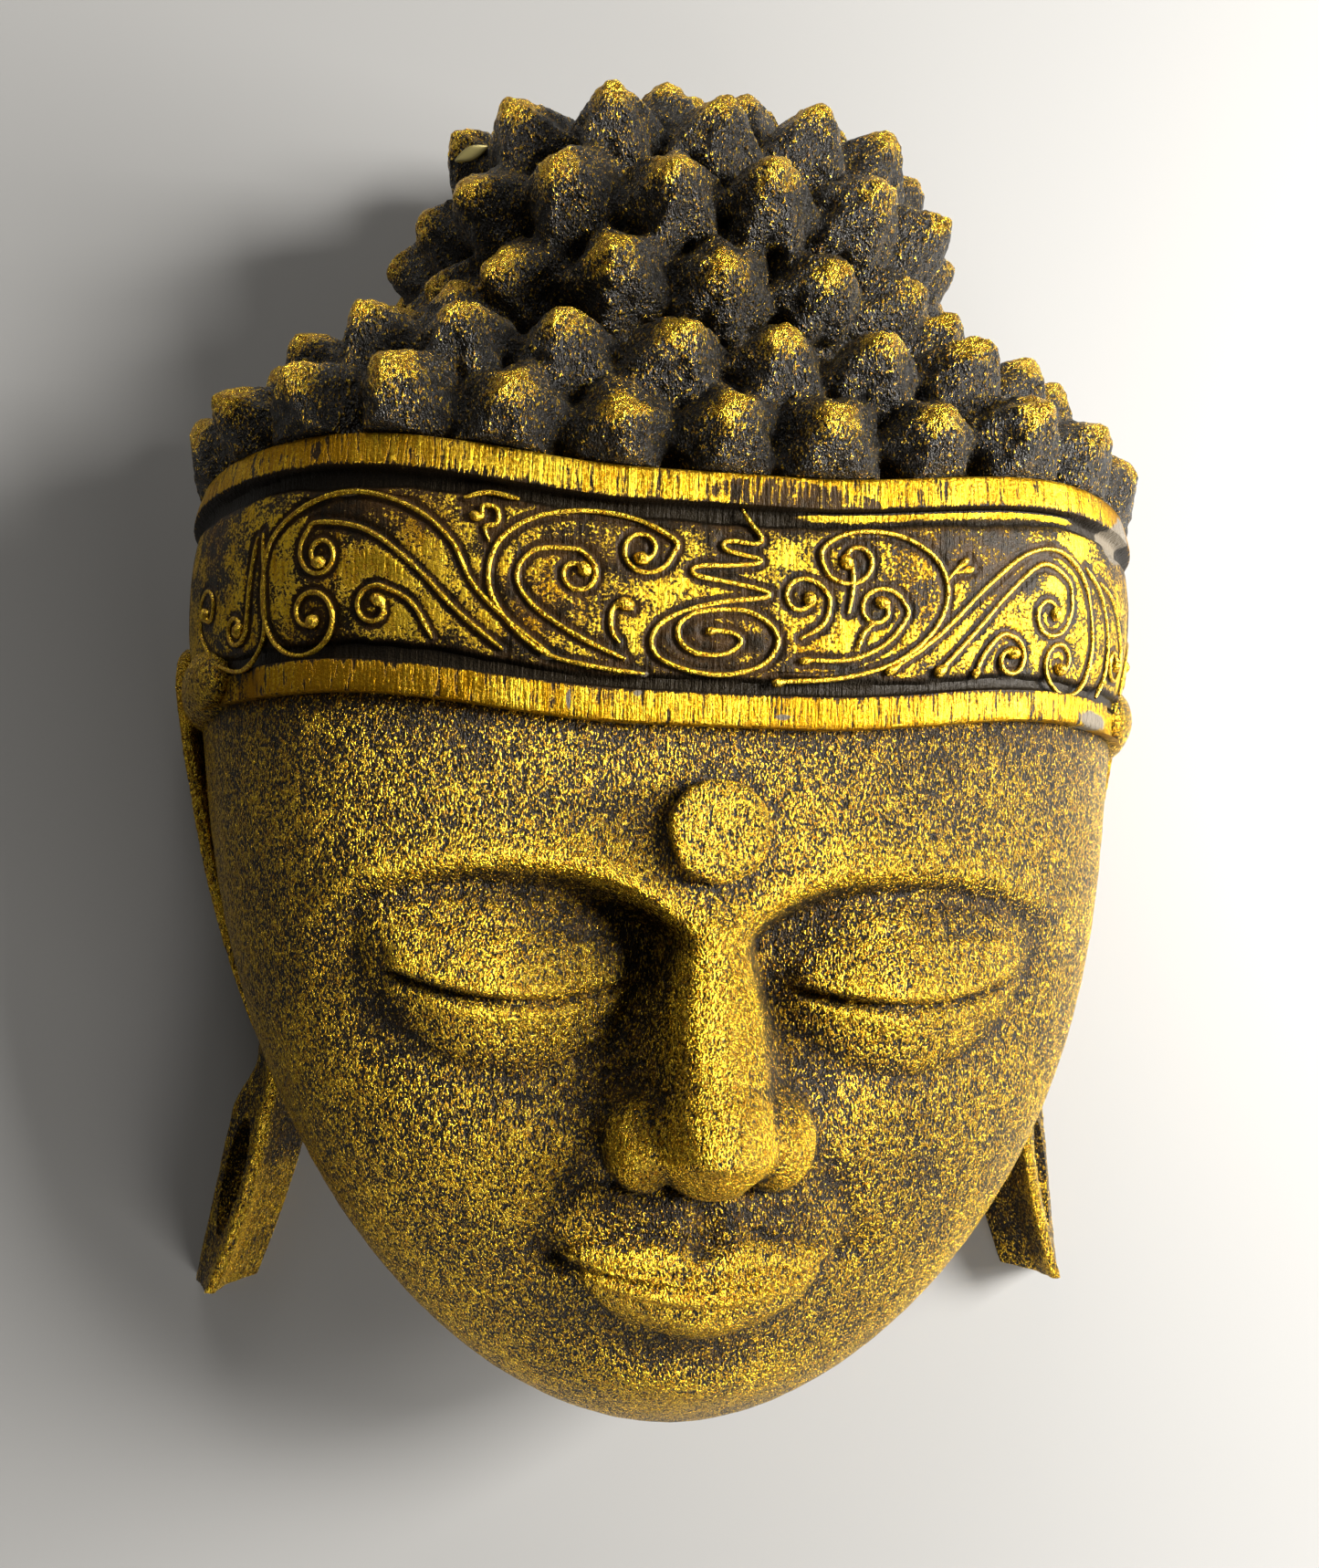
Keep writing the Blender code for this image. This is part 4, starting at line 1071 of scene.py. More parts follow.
def hair_gilt(points, normals, tips):
    """Gold on the knobs' tips and on the sides that face the crown."""
    from_tip = nearest(points, tips)[1]
    tip_share = 1 - smooth_step(*TIP_REACH, from_tip)
    facing = normals @ np.array(GILDED_SIDE)
    gilt_and_painted_light = -0.06 + 0.58 * tip_share + 1.25 * tip_share * np.clip(facing, -0.5, 1)
    gilt_and_painted_light = gilt_and_painted_light + 0.14 * np.clip(facing, 0, 1)
    return np.clip(gilt_and_painted_light, -0.3, 1.1)


def lowered(block, depth):
    """A block whose skin lies deeper by this much."""
    sizes = ("half_width", "up", "down", "front_z")
    return {**block, **{size: block[size] - depth for size in sizes}}


def make_rim_clearance():
    """The cutter that keeps the hair off the headband, up to the upper rim's edge."""
    low, outward, _ = band_column(BAND_MIDDLE_Y - CLEARANCE_MARGIN - BAND_BOTTOM_Y)
    high, high_outward, _ = band_column(BAND_WIDTH + RIM_CLEARANCE)
    inside, outside = CLEARANCE_REACH
    sides = [low - inside * outward, low + outside * outward]
    sides += [high + outside * high_outward, high - inside * high_outward]
    return loft("rim_clearance", np.stack(sides, axis=1)[::8])


def make_hair(materials, cutters):
    """The crown, the topknot and the knobs as one carved skin."""
    rng = random.Random(KNOB_SEED)
    places, directions = knob_places()
    scalps = lowered(HEAD, SCALP_SINK), lowered(TOPKNOT, SCALP_SINK)
    things = [make_block("crown", scalps[0], *CROWN_GRID)]
    things.append(make_block("topknot", scalps[1], *TOPKNOT_GRID))
    for index, (place, direction) in enumerate(zip(places, directions)):
        things.append(make_knob(f"knob_{index}", place, direction, rng))
    low = make_box("low_cutter", LOW_BOX_CORNER, (0.3, BAND_MIDDLE_Y - ROUGH_CUT_MARGIN, 0.3))
    hair = remesh(join("hair", things), HAIR_VOXEL)
    cut(hair, [low])
    mesh = hair.data
    points, normals = points_of(mesh), normals_of(mesh)
    rough = unevenness(points, HAIR_SKIN)
    clear = smooth_step(0.0, 0.003, points[:, 1] - BAND_MIDDLE_Y)
    move_points(mesh, points + normals * (rough * clear)[:, None])
    trim = make_box("trim_cutter", LOW_BOX_CORNER, (0.3, BAND_MIDDLE_Y, 0.3))
    clearance = make_rim_clearance()
    cut(hair, [trim, clearance] + cutters)
    mesh = hair.data
    tips = places + directions * KNOB_HEIGHT
    store(mesh, "gilt_and_painted_light", hair_gilt(points_of(mesh), normals_of(mesh), tips))
    mark_faces(hair, materials, on_the_back(mesh))
    smooth_shade(hair, 60)
    discard(low, trim, clearance)
    return hair


def scroll_paths():
    """Every scroll as a smooth line, in millimetres along and up the headband."""
    return [smooth_path(spiral_path(*scroll), SCROLL_STEP * MM_PER_M) for scroll in SCROLLS]


def ledge_share(along):
    """How fully the thin ledge under the upper rim stands, along the headband."""
    start, end = LEDGE_SPAN
    rise = smooth_step(start, start + LEDGE_FADE, along)
    return rise * (1 - smooth_step(end - LEDGE_FADE, end, along))


def nearest(points, places):
    """For each point, its nearest place's index and how far away it is."""
    tree = kdtree.KDTree(len(places))
    for index, place in enumerate(places):
        tree.insert(place, index)
    tree.balance()
    found = [tree.find(point)[1:] for point in points]
    return np.array([index for index, _ in found]), np.array([distance for _, distance in found])


def spots(along, up, places):
    """Soft spots on the headband, each with its own strength or at full strength."""
    total = 0
    for at_along, at_up, half_length, half_width, *strength in places:
        shape = bell(along - at_along, half_length) * bell(up - at_up, half_width)
        total = total + shape * (strength[0] if strength else 1)
    return total


def band_profile():
    """The headband's cross-section: level over its lower edge and height over the head."""
    middle = 0.5 * BAND_WIDTH
    rim = [(0.0, RIM_HEIGHT - 0.0006), (0.0003, RIM_HEIGHT - 0.0001)]
    rim += [(level, RIM_HEIGHT) for level in np.linspace(0.0009, RIM_WIDTH - 0.0007, 5)]
    rim += [(RIM_WIDTH - 0.0002, RIM_HEIGHT - 0.0001), (RIM_WIDTH, RIM_HEIGHT - 0.0006)]
    half = [(0.0, -BAND_SINK), (0.0, 0.0)] + rim
    half += [(RIM_WIDTH + 0.0001, 0.0014), (RIM_WIDTH + 0.0004, 0.0006)]
    half += [(RIM_WIDTH + 0.0009, BAND_GROOVE_HEIGHT), (FLOOR_EDGE - 0.0002, BAND_GROOVE_HEIGHT)]
    half += [(FLOOR_EDGE + 0.0003, 0.0011), (FLOOR_EDGE + 0.0009, BAND_FLOOR_HEIGHT)]
    for level in np.linspace(FLOOR_EDGE + 0.0015, middle, 30):
        share = (level - FLOOR_EDGE) / (middle - FLOOR_EDGE)
        half.append((level, BAND_FLOOR_HEIGHT + FLOOR_CROWN * math.sin(share * math.pi / 2)))
    other = [(2 * middle - level, height) for level, height in half[-2::-1]]
    return half + other


def band_point(along, level, lines):
    """A place on the plain head under the headband: along its length and up its width."""
    half = np.array([along_line(line, abs(along)) for line in lines])
    share = level / BAND_WIDTH * (len(lines) - 1)
    low = int(np.clip(math.floor(share), 0, len(lines) - 2))
    place = half[low] + (half[low + 1] - half[low]) * (share - low)
    place[0] *= math.copysign(1, along)
    return place


def band_column(level):
    """Places and outward directions along the headband at a level, and millimetres along it."""
    line = level_line(HEAD, BAND_BOTTOM_Y + level, band_bow)
    stops = np.linspace(0, 1, BAND_STATIONS // 2) * run_of(line)[-1]
    half = along_line(line, stops)
    places = np.concatenate([half[:0:-1] * MIRROR, half])
    outward = block_normals(half, HEAD)
    outward = np.concatenate([outward[:0:-1] * MIRROR, outward])
    along = MM_PER_M * np.concatenate([-stops[:0:-1], stops])
    return places, outward, along


def band_lift(level, height, places, along, near_cord):
    """How high one line of the headband stands, and how far its edge wanders."""
    upper = level > BAND_WIDTH / 2
    from_edge = min(level, BAND_WIDTH - level)
    lift = np.full(len(places), height)
    wander = np.zeros(len(places))
    if RIM_WIDTH * 0.9 < from_edge < RIM_WIDTH + 0.0005:
        wander = unevenness(places, RIM_WANDER)
    if FLOOR_EDGE - 0.0003 < from_edge < FLOOR_EDGE + 0.002:
        wander = FLOOR_SHIFT + unevenness(places, FLOOR_WANDER)
    if upper and RIM_WIDTH + 0.0003 < from_edge < RIM_WIDTH + 0.0012:
        lift = lift + LEDGE_HEIGHT * ledge_share(along)
    if not upper and 0 < from_edge <= RIM_WIDTH and height > 0:
        lift = lift * (1 - 0.75 * smooth_step(*RIM_END, np.abs(along)))
    if from_edge > FLOOR_EDGE:
        lift = lift - SCROLL_DITCH * bell(near_cord - 1.0, 0.45)
    if height > 0:
        lift = lift + unevenness(places, BAND_SKIN)
    return lift, -wander if upper else wander


def keep_band_wear(mesh, along, up, near_cord):
    """Keeps where the rims, grooves and ditches are and how the gold is worn, all given in mm."""
    from_edge = np.minimum(up, MM_PER_M * BAND_WIDTH - up) / MM_PER_M
    low = up < MM_PER_M * BAND_WIDTH / 2
    rim = 1 - smooth_step(RIM_WIDTH - 0.0002, RIM_WIDTH + 0.0005, from_edge)
    rim = rim * (1 - 0.45 * low * smooth_step(RIM_END[0], RIM_END[1] + 4, np.abs(along)))
    ledge = bell(from_edge - RIM_WIDTH - 0.0009, 0.0003) * ledge_share(along) * ~low
    off_groove = np.abs(from_edge - RIM_WIDTH - 0.6 * BAND_GROOVE_WIDTH)
    groove = bell(np.maximum(off_groove - 0.0008, 0), 0.0007)
    on_floor = smooth_step(FLOOR_EDGE, FLOOR_EDGE + 0.0015, from_edge)
    store(mesh, "rim", rim)
    store(mesh, "groove", groove * (1 - ledge) - 0.9 * ledge)
    store(mesh, "ditch", on_floor * bell(near_cord - 0.95, 0.5))
    store(mesh, "rub", on_floor * spots(along, up, RUBBED))
    store(mesh, "bared", spots(along, up, BARED))
    store(mesh, "greyed", spots(along, up, GREYED))


def make_band(materials):
    """The headband, from behind one ear over the front to behind the other."""
    cords = np.concatenate(scroll_paths())
    cords = np.column_stack([cords, np.zeros(len(cords))])
    columns, marks = [], []
    for level, height in band_profile():
        places, outward, along = band_column(level)
        up = np.full(len(along), MM_PER_M * level)
        near_cord = nearest(np.column_stack([along, up, 0 * up]), cords)[1]
        lift, wander = band_lift(level, height, places, along, near_cord)
        places[:, 1] += wander
        columns.append(places + outward * lift[:, None])
        marks.append(np.column_stack([along, up, near_cord]))
    piece = loft("headband", np.stack(columns, axis=1))
    trim = make_box("band_trim", BOX_LOW, BOX_HIGH)
    cut(piece, [trim])
    discard(trim)
    mesh = piece.data
    index = nearest(points_of(mesh), np.concatenate(columns))[0]
    keep_band_wear(mesh, *np.concatenate(marks)[index].T)
    mark_faces(piece, materials, on_the_back(mesh))
    smooth_shade(piece, 50)
    return piece


def spiral_path(stem, centre, turns, end_radius):
    """A stem's points followed by a curl that winds in towards a centre."""
    path = [np.array(point, float) for point in stem]
    if centre is None:
        return path
    start = path[-1] - np.array(centre, float)
    radius = float(np.hypot(*start))
    angle = math.atan2(start[1], start[0])
    steps = max(int(abs(turns) * 14), 4)
    for step in range(1, steps + 1):
        share = step / steps
        now = radius * (end_radius / radius) ** (share**0.85)
        bearing = angle + math.tau * turns * share
        path.append(np.array(centre) + now * np.array([math.cos(bearing), math.sin(bearing)]))
    return path


def smooth_path(path, step):
    """A smooth curve through the points of a path, with places a step apart."""
    points = np.array([2 * path[0] - path[1], *path, 2 * path[-1] - path[-2]])
    fine = []
    for index in range(1, len(points) - 2):
        before, start, end, after = points[index - 1:index + 3]
        for share in np.linspace(0, 1, 12, endpoint=False):
            linear = (end - before) * share
            square = (2 * before - 5 * start + 4 * end - after) * share**2
            cube = (3 * start - before - 3 * end + after) * share**3
            fine.append(0.5 * (2 * start + linear + square + cube))
    fine.append(points[-2])
    fine = np.array(fine)
    run = running(np.hypot(*np.diff(fine, axis=0).T))
    return places_at(np.linspace(0, run[-1], max(int(run[-1] / step), 3)), run, fine)


def make_tube(path, radii, outward, sides=8):
    """A closed cord along a path, a little taller than it is wide."""
    skin_rings = []
    ahead = np.gradient(path, axis=0)
    for place, way, out, radius in zip(path, ahead, outward, radii):
        way = way / np.linalg.norm(way)
        side = np.cross(way, out)
        side /= np.linalg.norm(side)
        up = np.cross(side, way)
        ring = []
        for step in range(sides):
            angle = math.tau * step / sides
            ring.append(place + radius * (math.cos(angle) * side + 1.05 * math.sin(angle) * up))
        skin_rings.append(ring)
    return loft("cord", skin_rings)


def cord_radii(path, bud_radius):
    """A scroll's radius along its path: thin at both ends, with a round bud at the far one."""
    run = np.arange(len(path)) * SCROLL_STEP * MM_PER_M
    left = run[-1] - run
    fullness = np.minimum(smooth_step(-1, 3, run), smooth_step(-1, 2, left))
    radii = SCROLL_RADIUS * (0.45 + 0.55 * fullness)
    radii = radii * (1 + unevenness(path, CORD_SKIN))
    bud_length = 1150 * bud_radius + 0.01
    bud = np.maximum(1 - ((left - 0.85 * bud_length) / bud_length) ** 2, 0) ** 0.5
    return np.maximum(radii, bud_radius * bud)


def make_scrolls(material):
    """The raised scrolls on the headband's floor."""
    levels = np.linspace(0, BAND_WIDTH, 24)
    lines = [level_line(HEAD, BAND_BOTTOM_Y + level, band_bow) for level in levels]
    cords = []
    for (_, centre, _, end_radius), flat in zip(SCROLLS, scroll_paths()):
        path = np.array([band_point(along / MM_PER_M, up / MM_PER_M, lines) for along, up in flat])
        outward = block_normals(path, HEAD)
        radii = cord_radii(path, end_radius / MM_PER_M if centre is None else BUD_RADIUS)
        path = path + outward * (BAND_FLOOR_HEIGHT + CORD_LIFT)
        cords.append(make_tube(path, radii, outward))
    piece = join("band_scrolls", cords)
    store(piece.data, "gilt_and_painted_light", np.full(len(piece.data.vertices), 0.9))
    piece.data.materials.append(material)
    smooth_shade(piece, 80)
    return piece


def make_dot(material):
    """The round dot on the forehead, set square to the forehead."""
    forehead = float(front_height(0.0, DOT_Y, HEAD) + face_relief(0.0, DOT_Y))
    place = np.array([[0.0, DOT_Y, forehead]])
    turn = Vector(block_normals(place, HEAD)[0]).to_track_quat("Z", "Y").to_matrix()
    rings = [(1.0, DOT_FOOT), (1.0, 0.0)]
    rings += [(share, DOT_HEIGHT + fall) for share, fall in DOT_EDGE]
    rings += [(share, DOT_HEIGHT + DOT_CROWN * (1 - share**2)) for share in DOT_CROWN_RINGS]
    sections = []
    for share, height in rings:
        section = []
        for step in range(DOT_SIDES):
            angle = math.tau * step / DOT_SIDES
            uneven = 1 + 0.014 * math.sin(3 * angle + 1) + 0.008 * math.sin(7 * angle)
            radius = share * DOT_RADIUS * uneven
            local = Vector((radius * math.cos(angle), radius * math.sin(angle), height))
            section.append(tuple(turn @ local + Vector(place[0])))
        sections.append(section)
    piece = loft("forehead_dot", sections)
    mesh = piece.data
    points = points_of(mesh)
    move_points(mesh, points + normals_of(mesh) * unevenness(points, DOT_SKIN)[:, None])
    from_middle = np.hypot(points[:, 0], points[:, 1] - DOT_Y) / DOT_RADIUS
    store(mesh, "gilt_and_painted_light", 0.62 - 0.20 * smooth_step(0.97, 1.01, from_middle))
    mesh.materials.append(material)
    smooth_shade(piece)
    return piece


def make_flake(hair):
    """A thin pale flake of gilding that lies on one of the topknot's knobs."""
    _, place, out, _ = hair.ray_cast(Vector((*FLAKE_PLACE, 0.3)), Vector((0, 0, -1)))
    ball = new_ball(40, 16)
    for vertex in ball.verts:
        taper = 1 - 0.55 * (2 * vertex.co.x) ** 2
        vertex.co.y *= taper
        vertex.co.z -= 0.9 * vertex.co.x**2
    out = (out.normalized() + Vector((0, 0, 1.8))).normalized()
    ahead = Vector((0.94, 0.34, 0)).normalized()
    side = out.cross(ahead).normalized()
    axes = Matrix((side.cross(out), side, out)).transposed().to_4x4()
    size = Matrix.Diagonal((*FLAKE_SIZE, 1))
    ball.transform(Matrix.Translation(place + 0.0006 * out) @ axes @ size)
    piece = new_piece("gilding_flake", ball)
    material, tree, shader = new_material("pale_gold")
    feed(tree, shader, {"Base Color": PALE_GOLD, "Metallic": 0.7, "Roughness": 0.38})
    piece.data.materials.append(material)
    smooth_shade(piece)
    return piece


def make_slot(name, side):
    """The cutter for the long hollow on a lobe's outer face."""
    ends = []
    for share in (0.12, 0.88):
        y = LOBE_START_Y + (LOBE_END_Y - LOBE_START_Y) * share
        ridge, lip, _ = ear_marks(y)
        middle = 0.5 * (ridge + lip)
        rise = lip - ridge
        ends.append((Vector((side * middle[0], y, middle[1])), Vector((side * rise[0], 0, rise[1]))))
    (near, across), (far, _) = ends
    long_way = (far - near).normalized()
    out = across.cross(long_way).normalized()
    out = out if out.x * side > 0 else -out
    wide = out.cross(long_way)
    ball = new_ball(48, 32)
    axes = Matrix((long_way, wide, out)).transposed().to_4x4()
    size = Matrix.Diagonal((SLOT_LENGTH, SLOT_WIDTH, 2 * SLOT_DEPTH, 1))
    ball.transform(Matrix.Translation((near + far) / 2) @ axes @ size)
    return new_piece(name, ball)


def ear_gilt_and_painted_light(points, side):
    """Gold on the ear: thick along the ridge and the lip, thin in the hollows, with painted light
    added on the left lobe's inner face.
    """
    x, y, z = (points * (side, 1, 1)).T
    heights = np.linspace(LOBE_END_Y, EAR_TOP_Y, 60)
    marks = np.array([ear_marks(height)[:2] for height in heights])
    (ridge_x, ridge_z), (lip_x, lip_z) = (
        [np.interp(y, heights, marks[:, mark, axis]) for axis in (0, 1)] for mark in (0, 1)
    )
    from_ridge = np.hypot(x - ridge_x, z - ridge_z)
    from_lip = np.hypot(x - lip_x, z - lip_z)
    inner = x < ridge_x - 0.001
    lobe = smooth_step(LOBE_START_Y + 0.012, LOBE_START_Y - 0.006, y)
    gilt_and_painted_light = 0.38 + 0.45 * bell(from_ridge, 0.0028) + 0.32 * lobe * bell(from_lip, 0.0014)
    gilt_and_painted_light = gilt_and_painted_light + 0.25 * smooth_step(-0.010, -0.002, y)
    gilt_and_painted_light = gilt_and_painted_light - lobe * np.where(inner, 0.40, 0.24) * (1 - bell(from_ridge, 0.003))
    # Partly the lobes' own gold, partly painted light: the left lobe's inner face lies in the head's
    # shadow and is painted as bright as if the window lit it.
    long_gold_and_light, end_gold_and_light = LOBE_GOLD_AND_LIGHT[side]
    lower_half = smooth_step(LOBE_END_Y + 0.031, LOBE_END_Y + 0.024, y)
    lobe_end = smooth_step(LOBE_END_Y + 0.010, LOBE_END_Y, y)
    gilt_and_painted_light = gilt_and_painted_light + lobe * inner * (long_gold_and_light * lower_half + end_gold_and_light * lobe_end)
    return np.clip(gilt_and_painted_light, 0.0, 1.1)


def make_ear_root(side):
    """The rounded swelling at the top of an ear, over the end of the headband's lower rim."""
    ball = new_ball(48, 32)
    x, y, z = EAR_ROOT
    lean = Matrix.Rotation(-side * math.radians(EAR_ROOT_LEAN), 4, "Y")
    size = Matrix.Diagonal((*EAR_ROOT_SIZE, 1))
    ball.transform(Matrix.Translation((side * x, y, z)) @ lean @ size)
    return new_piece("ear_root", ball)


def make_ear(name, side, materials, cutters):
    """One ear with its lobe."""
    heights = np.linspace(EAR_TOP_Y - 0.0002, LOBE_END_Y, 90)
    sections = [[(side * x, y, z) for x, y, z in ear_section(y)] for y in heights]
    piece = join(name, [loft("ear_strip", sections), make_ear_root(side)])
    slot = make_slot("slot_cutter", side)
    remesh(piece, EAR_VOXEL)
    soften = piece.modifiers.new("soften", "SMOOTH")
    soften.iterations = 4
    apply_modifiers(piece)
    cut(piece, [slot] + cutters)
    discard(slot)
    mesh = piece.data
    points = points_of(mesh)
    rough = unevenness(points, EAR_SKIN) * smooth_step(0.0005, 0.004, points[:, 2])
    move_points(mesh, points + normals_of(mesh) * rough[:, None])
    store(mesh, "gilt_and_painted_light", ear_gilt_and_painted_light(points_of(mesh), side))
    mark_faces(piece, materials, on_the_back(mesh))
    smooth_shade(piece, 50)
    return piece


def feed(tree, node, inputs):
    """Gives a node's inputs their values, or links them to other nodes' sockets."""
    for key, value in inputs.items():
        if isinstance(value, bpy.types.NodeSocket):
            tree.links.new(value, node.inputs[key])
        else:
            node.inputs[key].default_value = value


def add(tree, kind, inputs=None, **settings):
    """A node with its settings, its inputs given as values or as other nodes' sockets."""
    made = tree.nodes.new(kind)
    for name, value in settings.items():
        setattr(made, name, value)
    feed(tree, made, inputs or {})
    return made


def sum_of(tree, start, *terms):
    """start plus each socket times its weight."""
    total = start
    for socket, weight in terms:
        inputs = {0: socket, 1: weight, 2: total}
        total = add(tree, "ShaderNodeMath", inputs, operation="MULTIPLY_ADD").outputs[0]
    return total


def spread(tree, socket, low, high, to_low=0.0, to_high=1.0):
    """A value brought softly from one range to another."""
    inputs = {0: socket, 1: low, 2: high, 3: to_low, 4: to_high}
    return add(tree, "ShaderNodeMapRange", inputs, interpolation_type="SMOOTHSTEP").outputs[0]


def mix(tree, share, a, b):
    """A colour between two."""
    return add(tree, "ShaderNodeMix", {0: share, 6: a, 7: b}, data_type="RGBA").outputs[2]


def grain(tree, place, scale, detail=2.0, roughness=0.5):
    """A noise texture's value."""
    inputs = {"Vector": place, "Scale": scale, "Detail": detail, "Roughness": roughness}
    return add(tree, "ShaderNodeTexNoise", inputs).outputs[0]


def stretched(tree, scale):
    """Places on the object, stretched."""
    place = add(tree, "ShaderNodeTexCoord").outputs["Object"]
    return add(tree, "ShaderNodeMapping", {0: place, 3: scale}).outputs[0]


def attribute(tree, name):
    """A number kept on the mesh."""
    return add(tree, "ShaderNodeAttribute", attribute_name=name).outputs["Fac"]


def new_material(name):
    """A material with only its surface shader, its nodes and that shader."""
    material = bpy.data.materials.new(name)
    material.use_nodes = True
    return material, material.node_tree, material.node_tree.nodes["Principled BSDF"]


def bump(tree, height, distance, strength=1.0):
    """A surface direction turned by bumps."""
    inputs = {"Strength": strength, "Distance": distance, "Height": height}
    return add(tree, "ShaderNodeBump", inputs).outputs[0]


def gloss(tree, shader, coat, height, depth, coat_depth):
    """Bumps over the paint, and the same bumps filled in by a thin worn varnish."""
    feed(tree, shader, {
        "Specular IOR Level": SHEEN_LEVEL,
        "Specular Tint": SHEEN_TINT,
        "Coat Weight": coat,
        "Coat Roughness": COAT_ROUGHNESS,
        "Normal": bump(tree, height, depth),
        "Coat Normal": bump(tree, height, coat_depth),
    })


def speckled_gold(name, weights, dark, brown, depth, size=3000, coat=0.45, edge=(0.30, 0.66)):
    """Gold rubbed over a rough black ground: it stays on the grain's peaks.

    The weights are those of the fine, middle and broad grain, the size is the fine grain's
    scale, and the edge is where the gold starts and where it covers the ground.
    """
    material, tree, shader = new_material(name)
    fine = grain(tree, stretched(tree, (1, 0.5, 0.8)), size, 2, 0.62)
    middle = grain(tree, stretched(tree, (1, 0.65, 1)), 600, 3, 0.6)
    broad = grain(tree, stretched(tree, (1, 1, 1)), 60, 3, 0.55)
    # The gold kept on the mesh, which on the face and the ears also holds painted shade and light.
    gilt_and_painted_light = attribute(tree, "gilt_and_painted_light")
    start = -0.5 * (weights[0] + weights[1] + weights[2])
    wet = sum_of(tree, start, *zip((fine, middle, broad, gilt_and_painted_light), (*weights, 1.0)))
    share = spread(tree, wet, *edge)
    other = grain(tree, stretched(tree, (1, 0.6, 1.01)), 0.7 * size, 1, 0.5)
    gold = mix(tree, spread(tree, other, 0.34, 0.66), DEEP_GOLD, BRIGHT_GOLD)
    under = mix(tree, spread(tree, middle, 0.42, 0.68), dark, brown)
    feed(tree, shader, {
        "Base Color": mix(tree, share, under, gold),
        "Metallic": spread(tree, share, 0, 0.7, 0, 0.9),
        "Roughness": spread(tree, share, 0, 1, 0.50, 0.27),
    })
    height = sum_of(tree, 0.0, (fine, 1.0), (middle, 1.2))
    gloss(tree, shader, coat, height, depth, 0.6 * depth)
    return material


def ragged(tree, socket, edge, low=0.42, high=0.58):
    """A soft spot with a torn edge."""
    return spread(tree, sum_of(tree, -0.5, (socket, 1.0), (edge, 1.0)), low, high)


def band_material():
    """Solid gold rims with worn cracks, black grooves, and a floor of ragged gold patches."""
    material, tree, shader = new_material("band_gold")
    place = stretched(tree, (1, 1, 1))
    fine = grain(tree, place, 1700, 3, 0.7)
    patches = grain(tree, place, 170, 6, 0.74)
    broad = grain(tree, place, 50, 2, 0.5)
    cracks = grain(tree, stretched(tree, (1, 0.10, 0.35)), 1600, 3, 0.65)
    scratches = grain(tree, stretched(tree, (1, 0.05, 0.3)), 900, 2, 0.6)
    rim = attribute(tree, "rim")
    floor_terms = (patches, 3.4), (broad, 1.3), (fine, 3.4), (attribute(tree, "rub"), 1.4)
    floor_wet = sum_of(tree, -3.70, *floor_terms, (attribute(tree, "ditch"), -1.5))
    rim_wet = sum_of(tree, -2.82, (patches, 2.3), (cracks, 4.2), (fine, 0.9))
    wet = add(tree, "ShaderNodeMix", {0: rim, 2: floor_wet, 3: rim_wet}, data_type="FLOAT").outputs[0]
    groove = attribute(tree, "groove")
    bared = ragged(tree, attribute(tree, "bared"), patches)
    greyed = ragged(tree, attribute(tree, "greyed"), patches)
    wet = sum_of(tree, wet, (groove, -2.2), (bared, -0.75))
    share = spread(tree, wet, 0.22, 0.66)
    tone = sum_of(tree, -0.75, (fine, 1.1), (broad, 0.9), (scratches, 0.6), (rim, -0.12))
    gold = mix(tree, spread(tree, tone, 0.34, 0.72), DEEP_GOLD, RIM_GOLD)
    under = mix(tree, spread(tree, patches, 0.35, 0.6), DARK, WARM_BROWN)
    under = mix(tree, spread(tree, groove, 0.1, 0.7), under, DARK)
    factors = {0: spread(tree, share, 0, 1, 0, 0.9), 1: spread(tree, greyed, 0, 1, 1, 0)}
    feed(tree, shader, {
        "Base Color": mix(tree, greyed, mix(tree, share, under, gold), PALE_GREY),
        "Metallic": add(tree, "ShaderNodeMath", factors, operation="MULTIPLY").outputs[0],
        "Roughness": spread(tree, share, 0, 1, 0.50, 0.31),
    })
    height = sum_of(tree, 0.0, (cracks, 0.9), (share, 0.35), (fine, 0.7), (scratches, 0.9))
    gloss(tree, shader, 0.10, height, 0.00040, 0.00020)
    return material


def bare_wood():
    """The unseen back: dark stained wood with its grain along the mask."""
    material, tree, shader = new_material("stained_back")
    along = stretched(tree, (1, 0.07, 1))
    lines = grain(tree, along, 420, 4, 0.6)
    broad = grain(tree, along, 60, 2, 0.5)
    value = sum_of(tree, 0.0, (lines, 0.7), (broad, 0.4))
    feed(tree, shader, {
        "Base Color": mix(tree, spread(tree, value, 0.38, 0.72), DARK_STAIN, PALE_STAIN),
        "Roughness": spread(tree, lines, 0.3, 0.7, 0.62, 0.80),
        "Normal": bump(tree, lines, 0.0004, 0.4),
    })
    return material


def look_at(thing, target):
    """Turns a light towards a place."""
    way = Vector(target) - thing.location
    thing.rotation_euler = way.to_track_quat("-Z", "Y").to_euler()


def area_light(name, place, power, size, colour):
    """A soft square light that faces the mask."""
    lamp = bpy.data.lights.new(name, "AREA")
    lamp.energy = power
    lamp.size = size
    lamp.color = colour
    thing = bpy.data.objects.new(name, lamp)
    thing.location = place
    look_at(thing, LIGHT_TARGET)
    bpy.context.scene.collection.objects.link(thing)


def make_floor():
    """A pale floor under the mask."""
    skin = bmesh.new()
    bmesh.ops.create_grid(skin, x_segments=1, y_segments=1, size=2.0)
    floor = new_piece("floor", skin)
    material, tree, shader = new_material("pale_floor")
    feed(tree, shader, {"Base Color": FLOOR_COLOUR, "Roughness": FLOOR_ROUGHNESS})
    floor.data.materials.append(material)


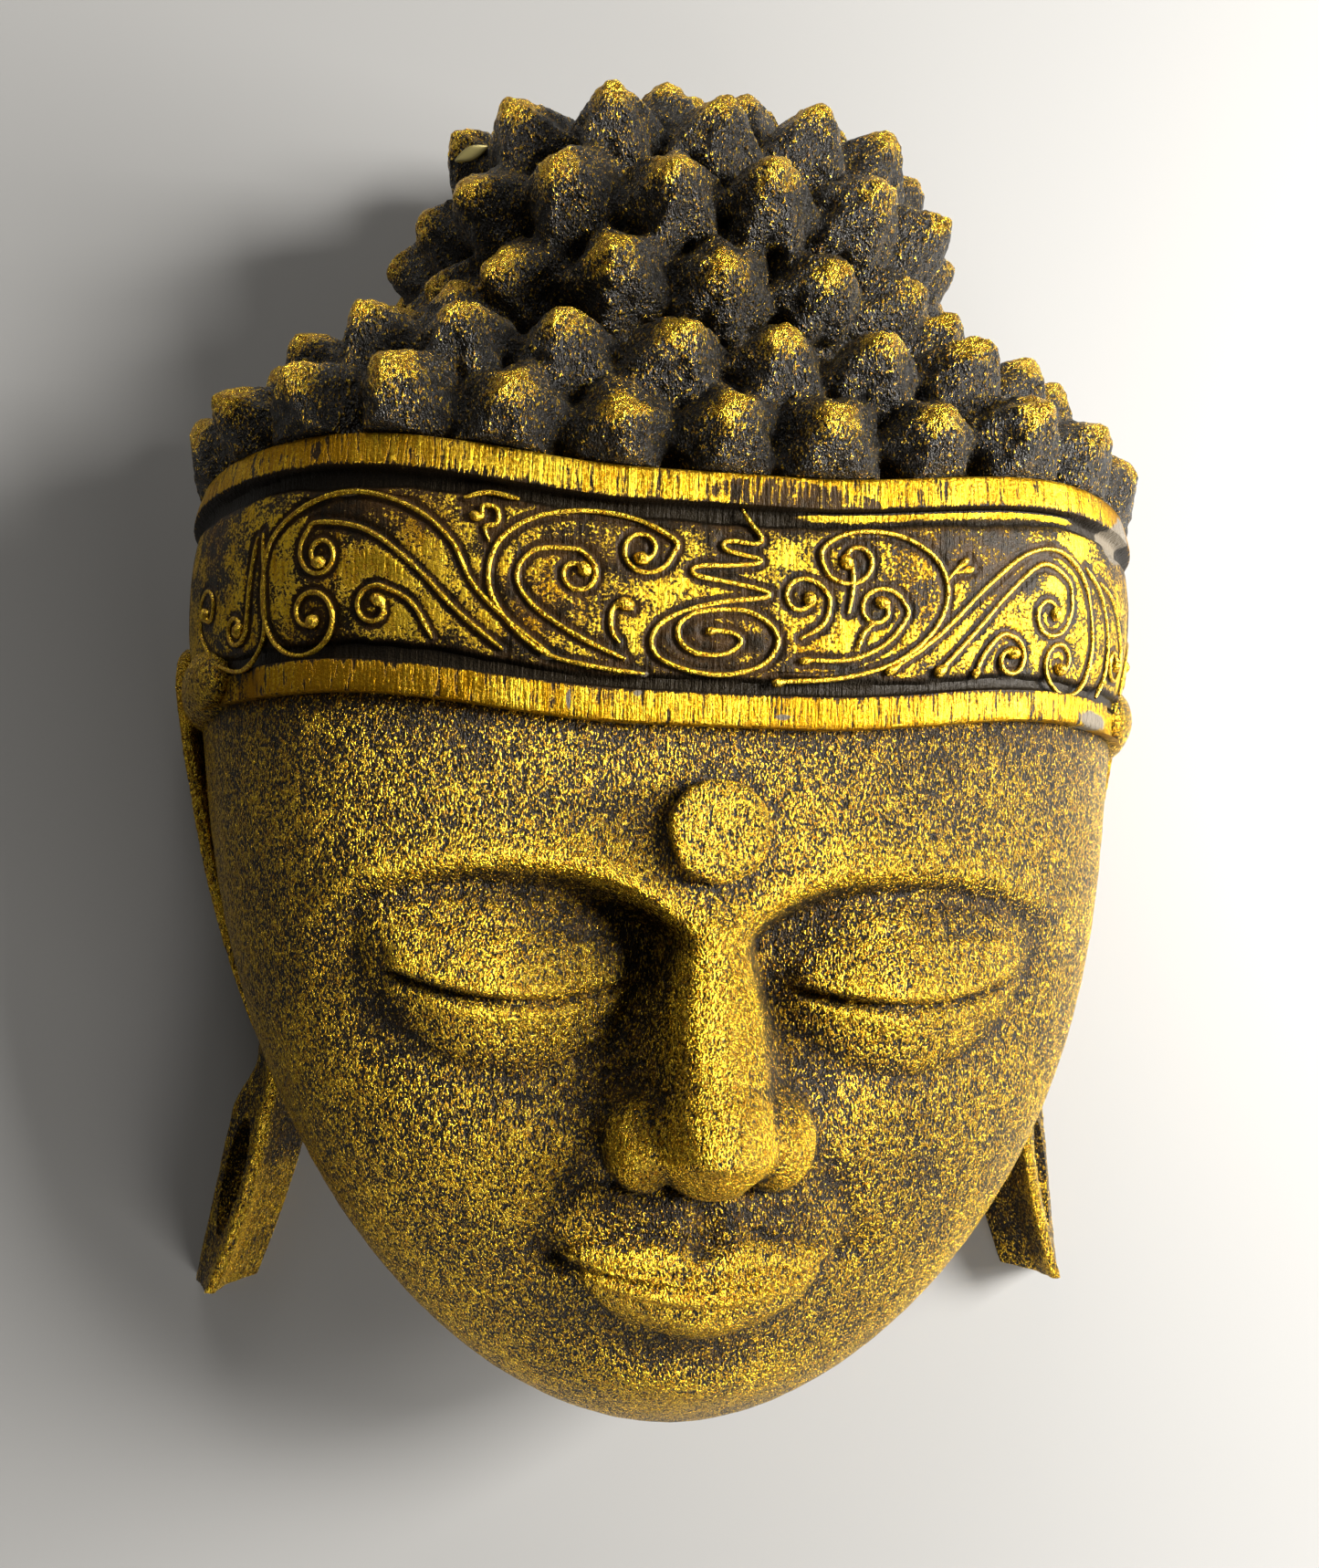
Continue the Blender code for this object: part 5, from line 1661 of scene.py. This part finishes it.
def make_lights():
    """Soft studio light: the area lights and a dim, even world."""
    world = bpy.data.worlds.new("studio")
    world.use_nodes = True
    background = world.node_tree.nodes["Background"]
    feed(world.node_tree, background, {"Color": WORLD_COLOUR, "Strength": WORLD_STRENGTH})
    bpy.context.scene.world = world
    for light in LIGHTS:
        area_light(*light)


def make_camera():
    """The camera at the photo's place and turn."""
    camera = bpy.data.cameras.new("camera")
    camera.sensor_width = SENSOR_WIDTH
    camera.lens = LENS
    camera.clip_start = 0.01
    thing = bpy.data.objects.new("camera", camera)
    turn = Matrix((CAMERA_RIGHT, CAMERA_UP, CAMERA_BACK)).transposed().to_4x4()
    thing.matrix_world = Matrix.Translation(CAMERA_PLACE) @ turn
    bpy.context.scene.collection.objects.link(thing)
    bpy.context.scene.camera = thing
    bpy.context.scene.view_settings.view_transform = "Standard"


def main():
    """The stage, then the pieces of the mask, each bound to the solid that it stands for."""
    make_floor()
    make_lights()
    make_camera()
    back_plane = make_box("back_cutter", BOX_LOW, BOX_HIGH)
    cutters = [back_plane, make_block("hollow_cutter", HOLLOW, *HOLLOW_GRID)]
    back = bare_wood()
    face_paint = speckled_gold(
        "face_gold", weights=(4.8, 1.8, 1.0), dark=DARK, brown=BROWN, depth=0.0013,
        size=2600, coat=0.30,
    )
    hair_paint = speckled_gold(
        "hair_gold", weights=(3.6, 1.3, 0.3), dark=COAL, brown=SOOT, depth=0.0018,
        size=2300, coat=0.55, edge=(0.30, 0.58),
    )
    band_paint = band_material()
    scroll_paint = speckled_gold(
        "scroll_gold", weights=(0.9, 0.4, 0.3), dark=DARK, brown=BROWN, depth=0.0003,
    )
    hair = make_hair([hair_paint, back], cutters)
    pieces = [
        make_face([face_paint, back], cutters),
        hair,
        make_flake(hair),
        make_band([band_paint, back]),
        make_scrolls(scroll_paint),
        make_dot(face_paint),
        make_ear("ear_right", 1, [face_paint, back], cutters),
        make_ear("ear_left", -1, [face_paint, back], cutters),
    ]
    discard(*cutters)
    for piece in pieces:
        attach(piece, "root")
        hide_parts("mask")


main()
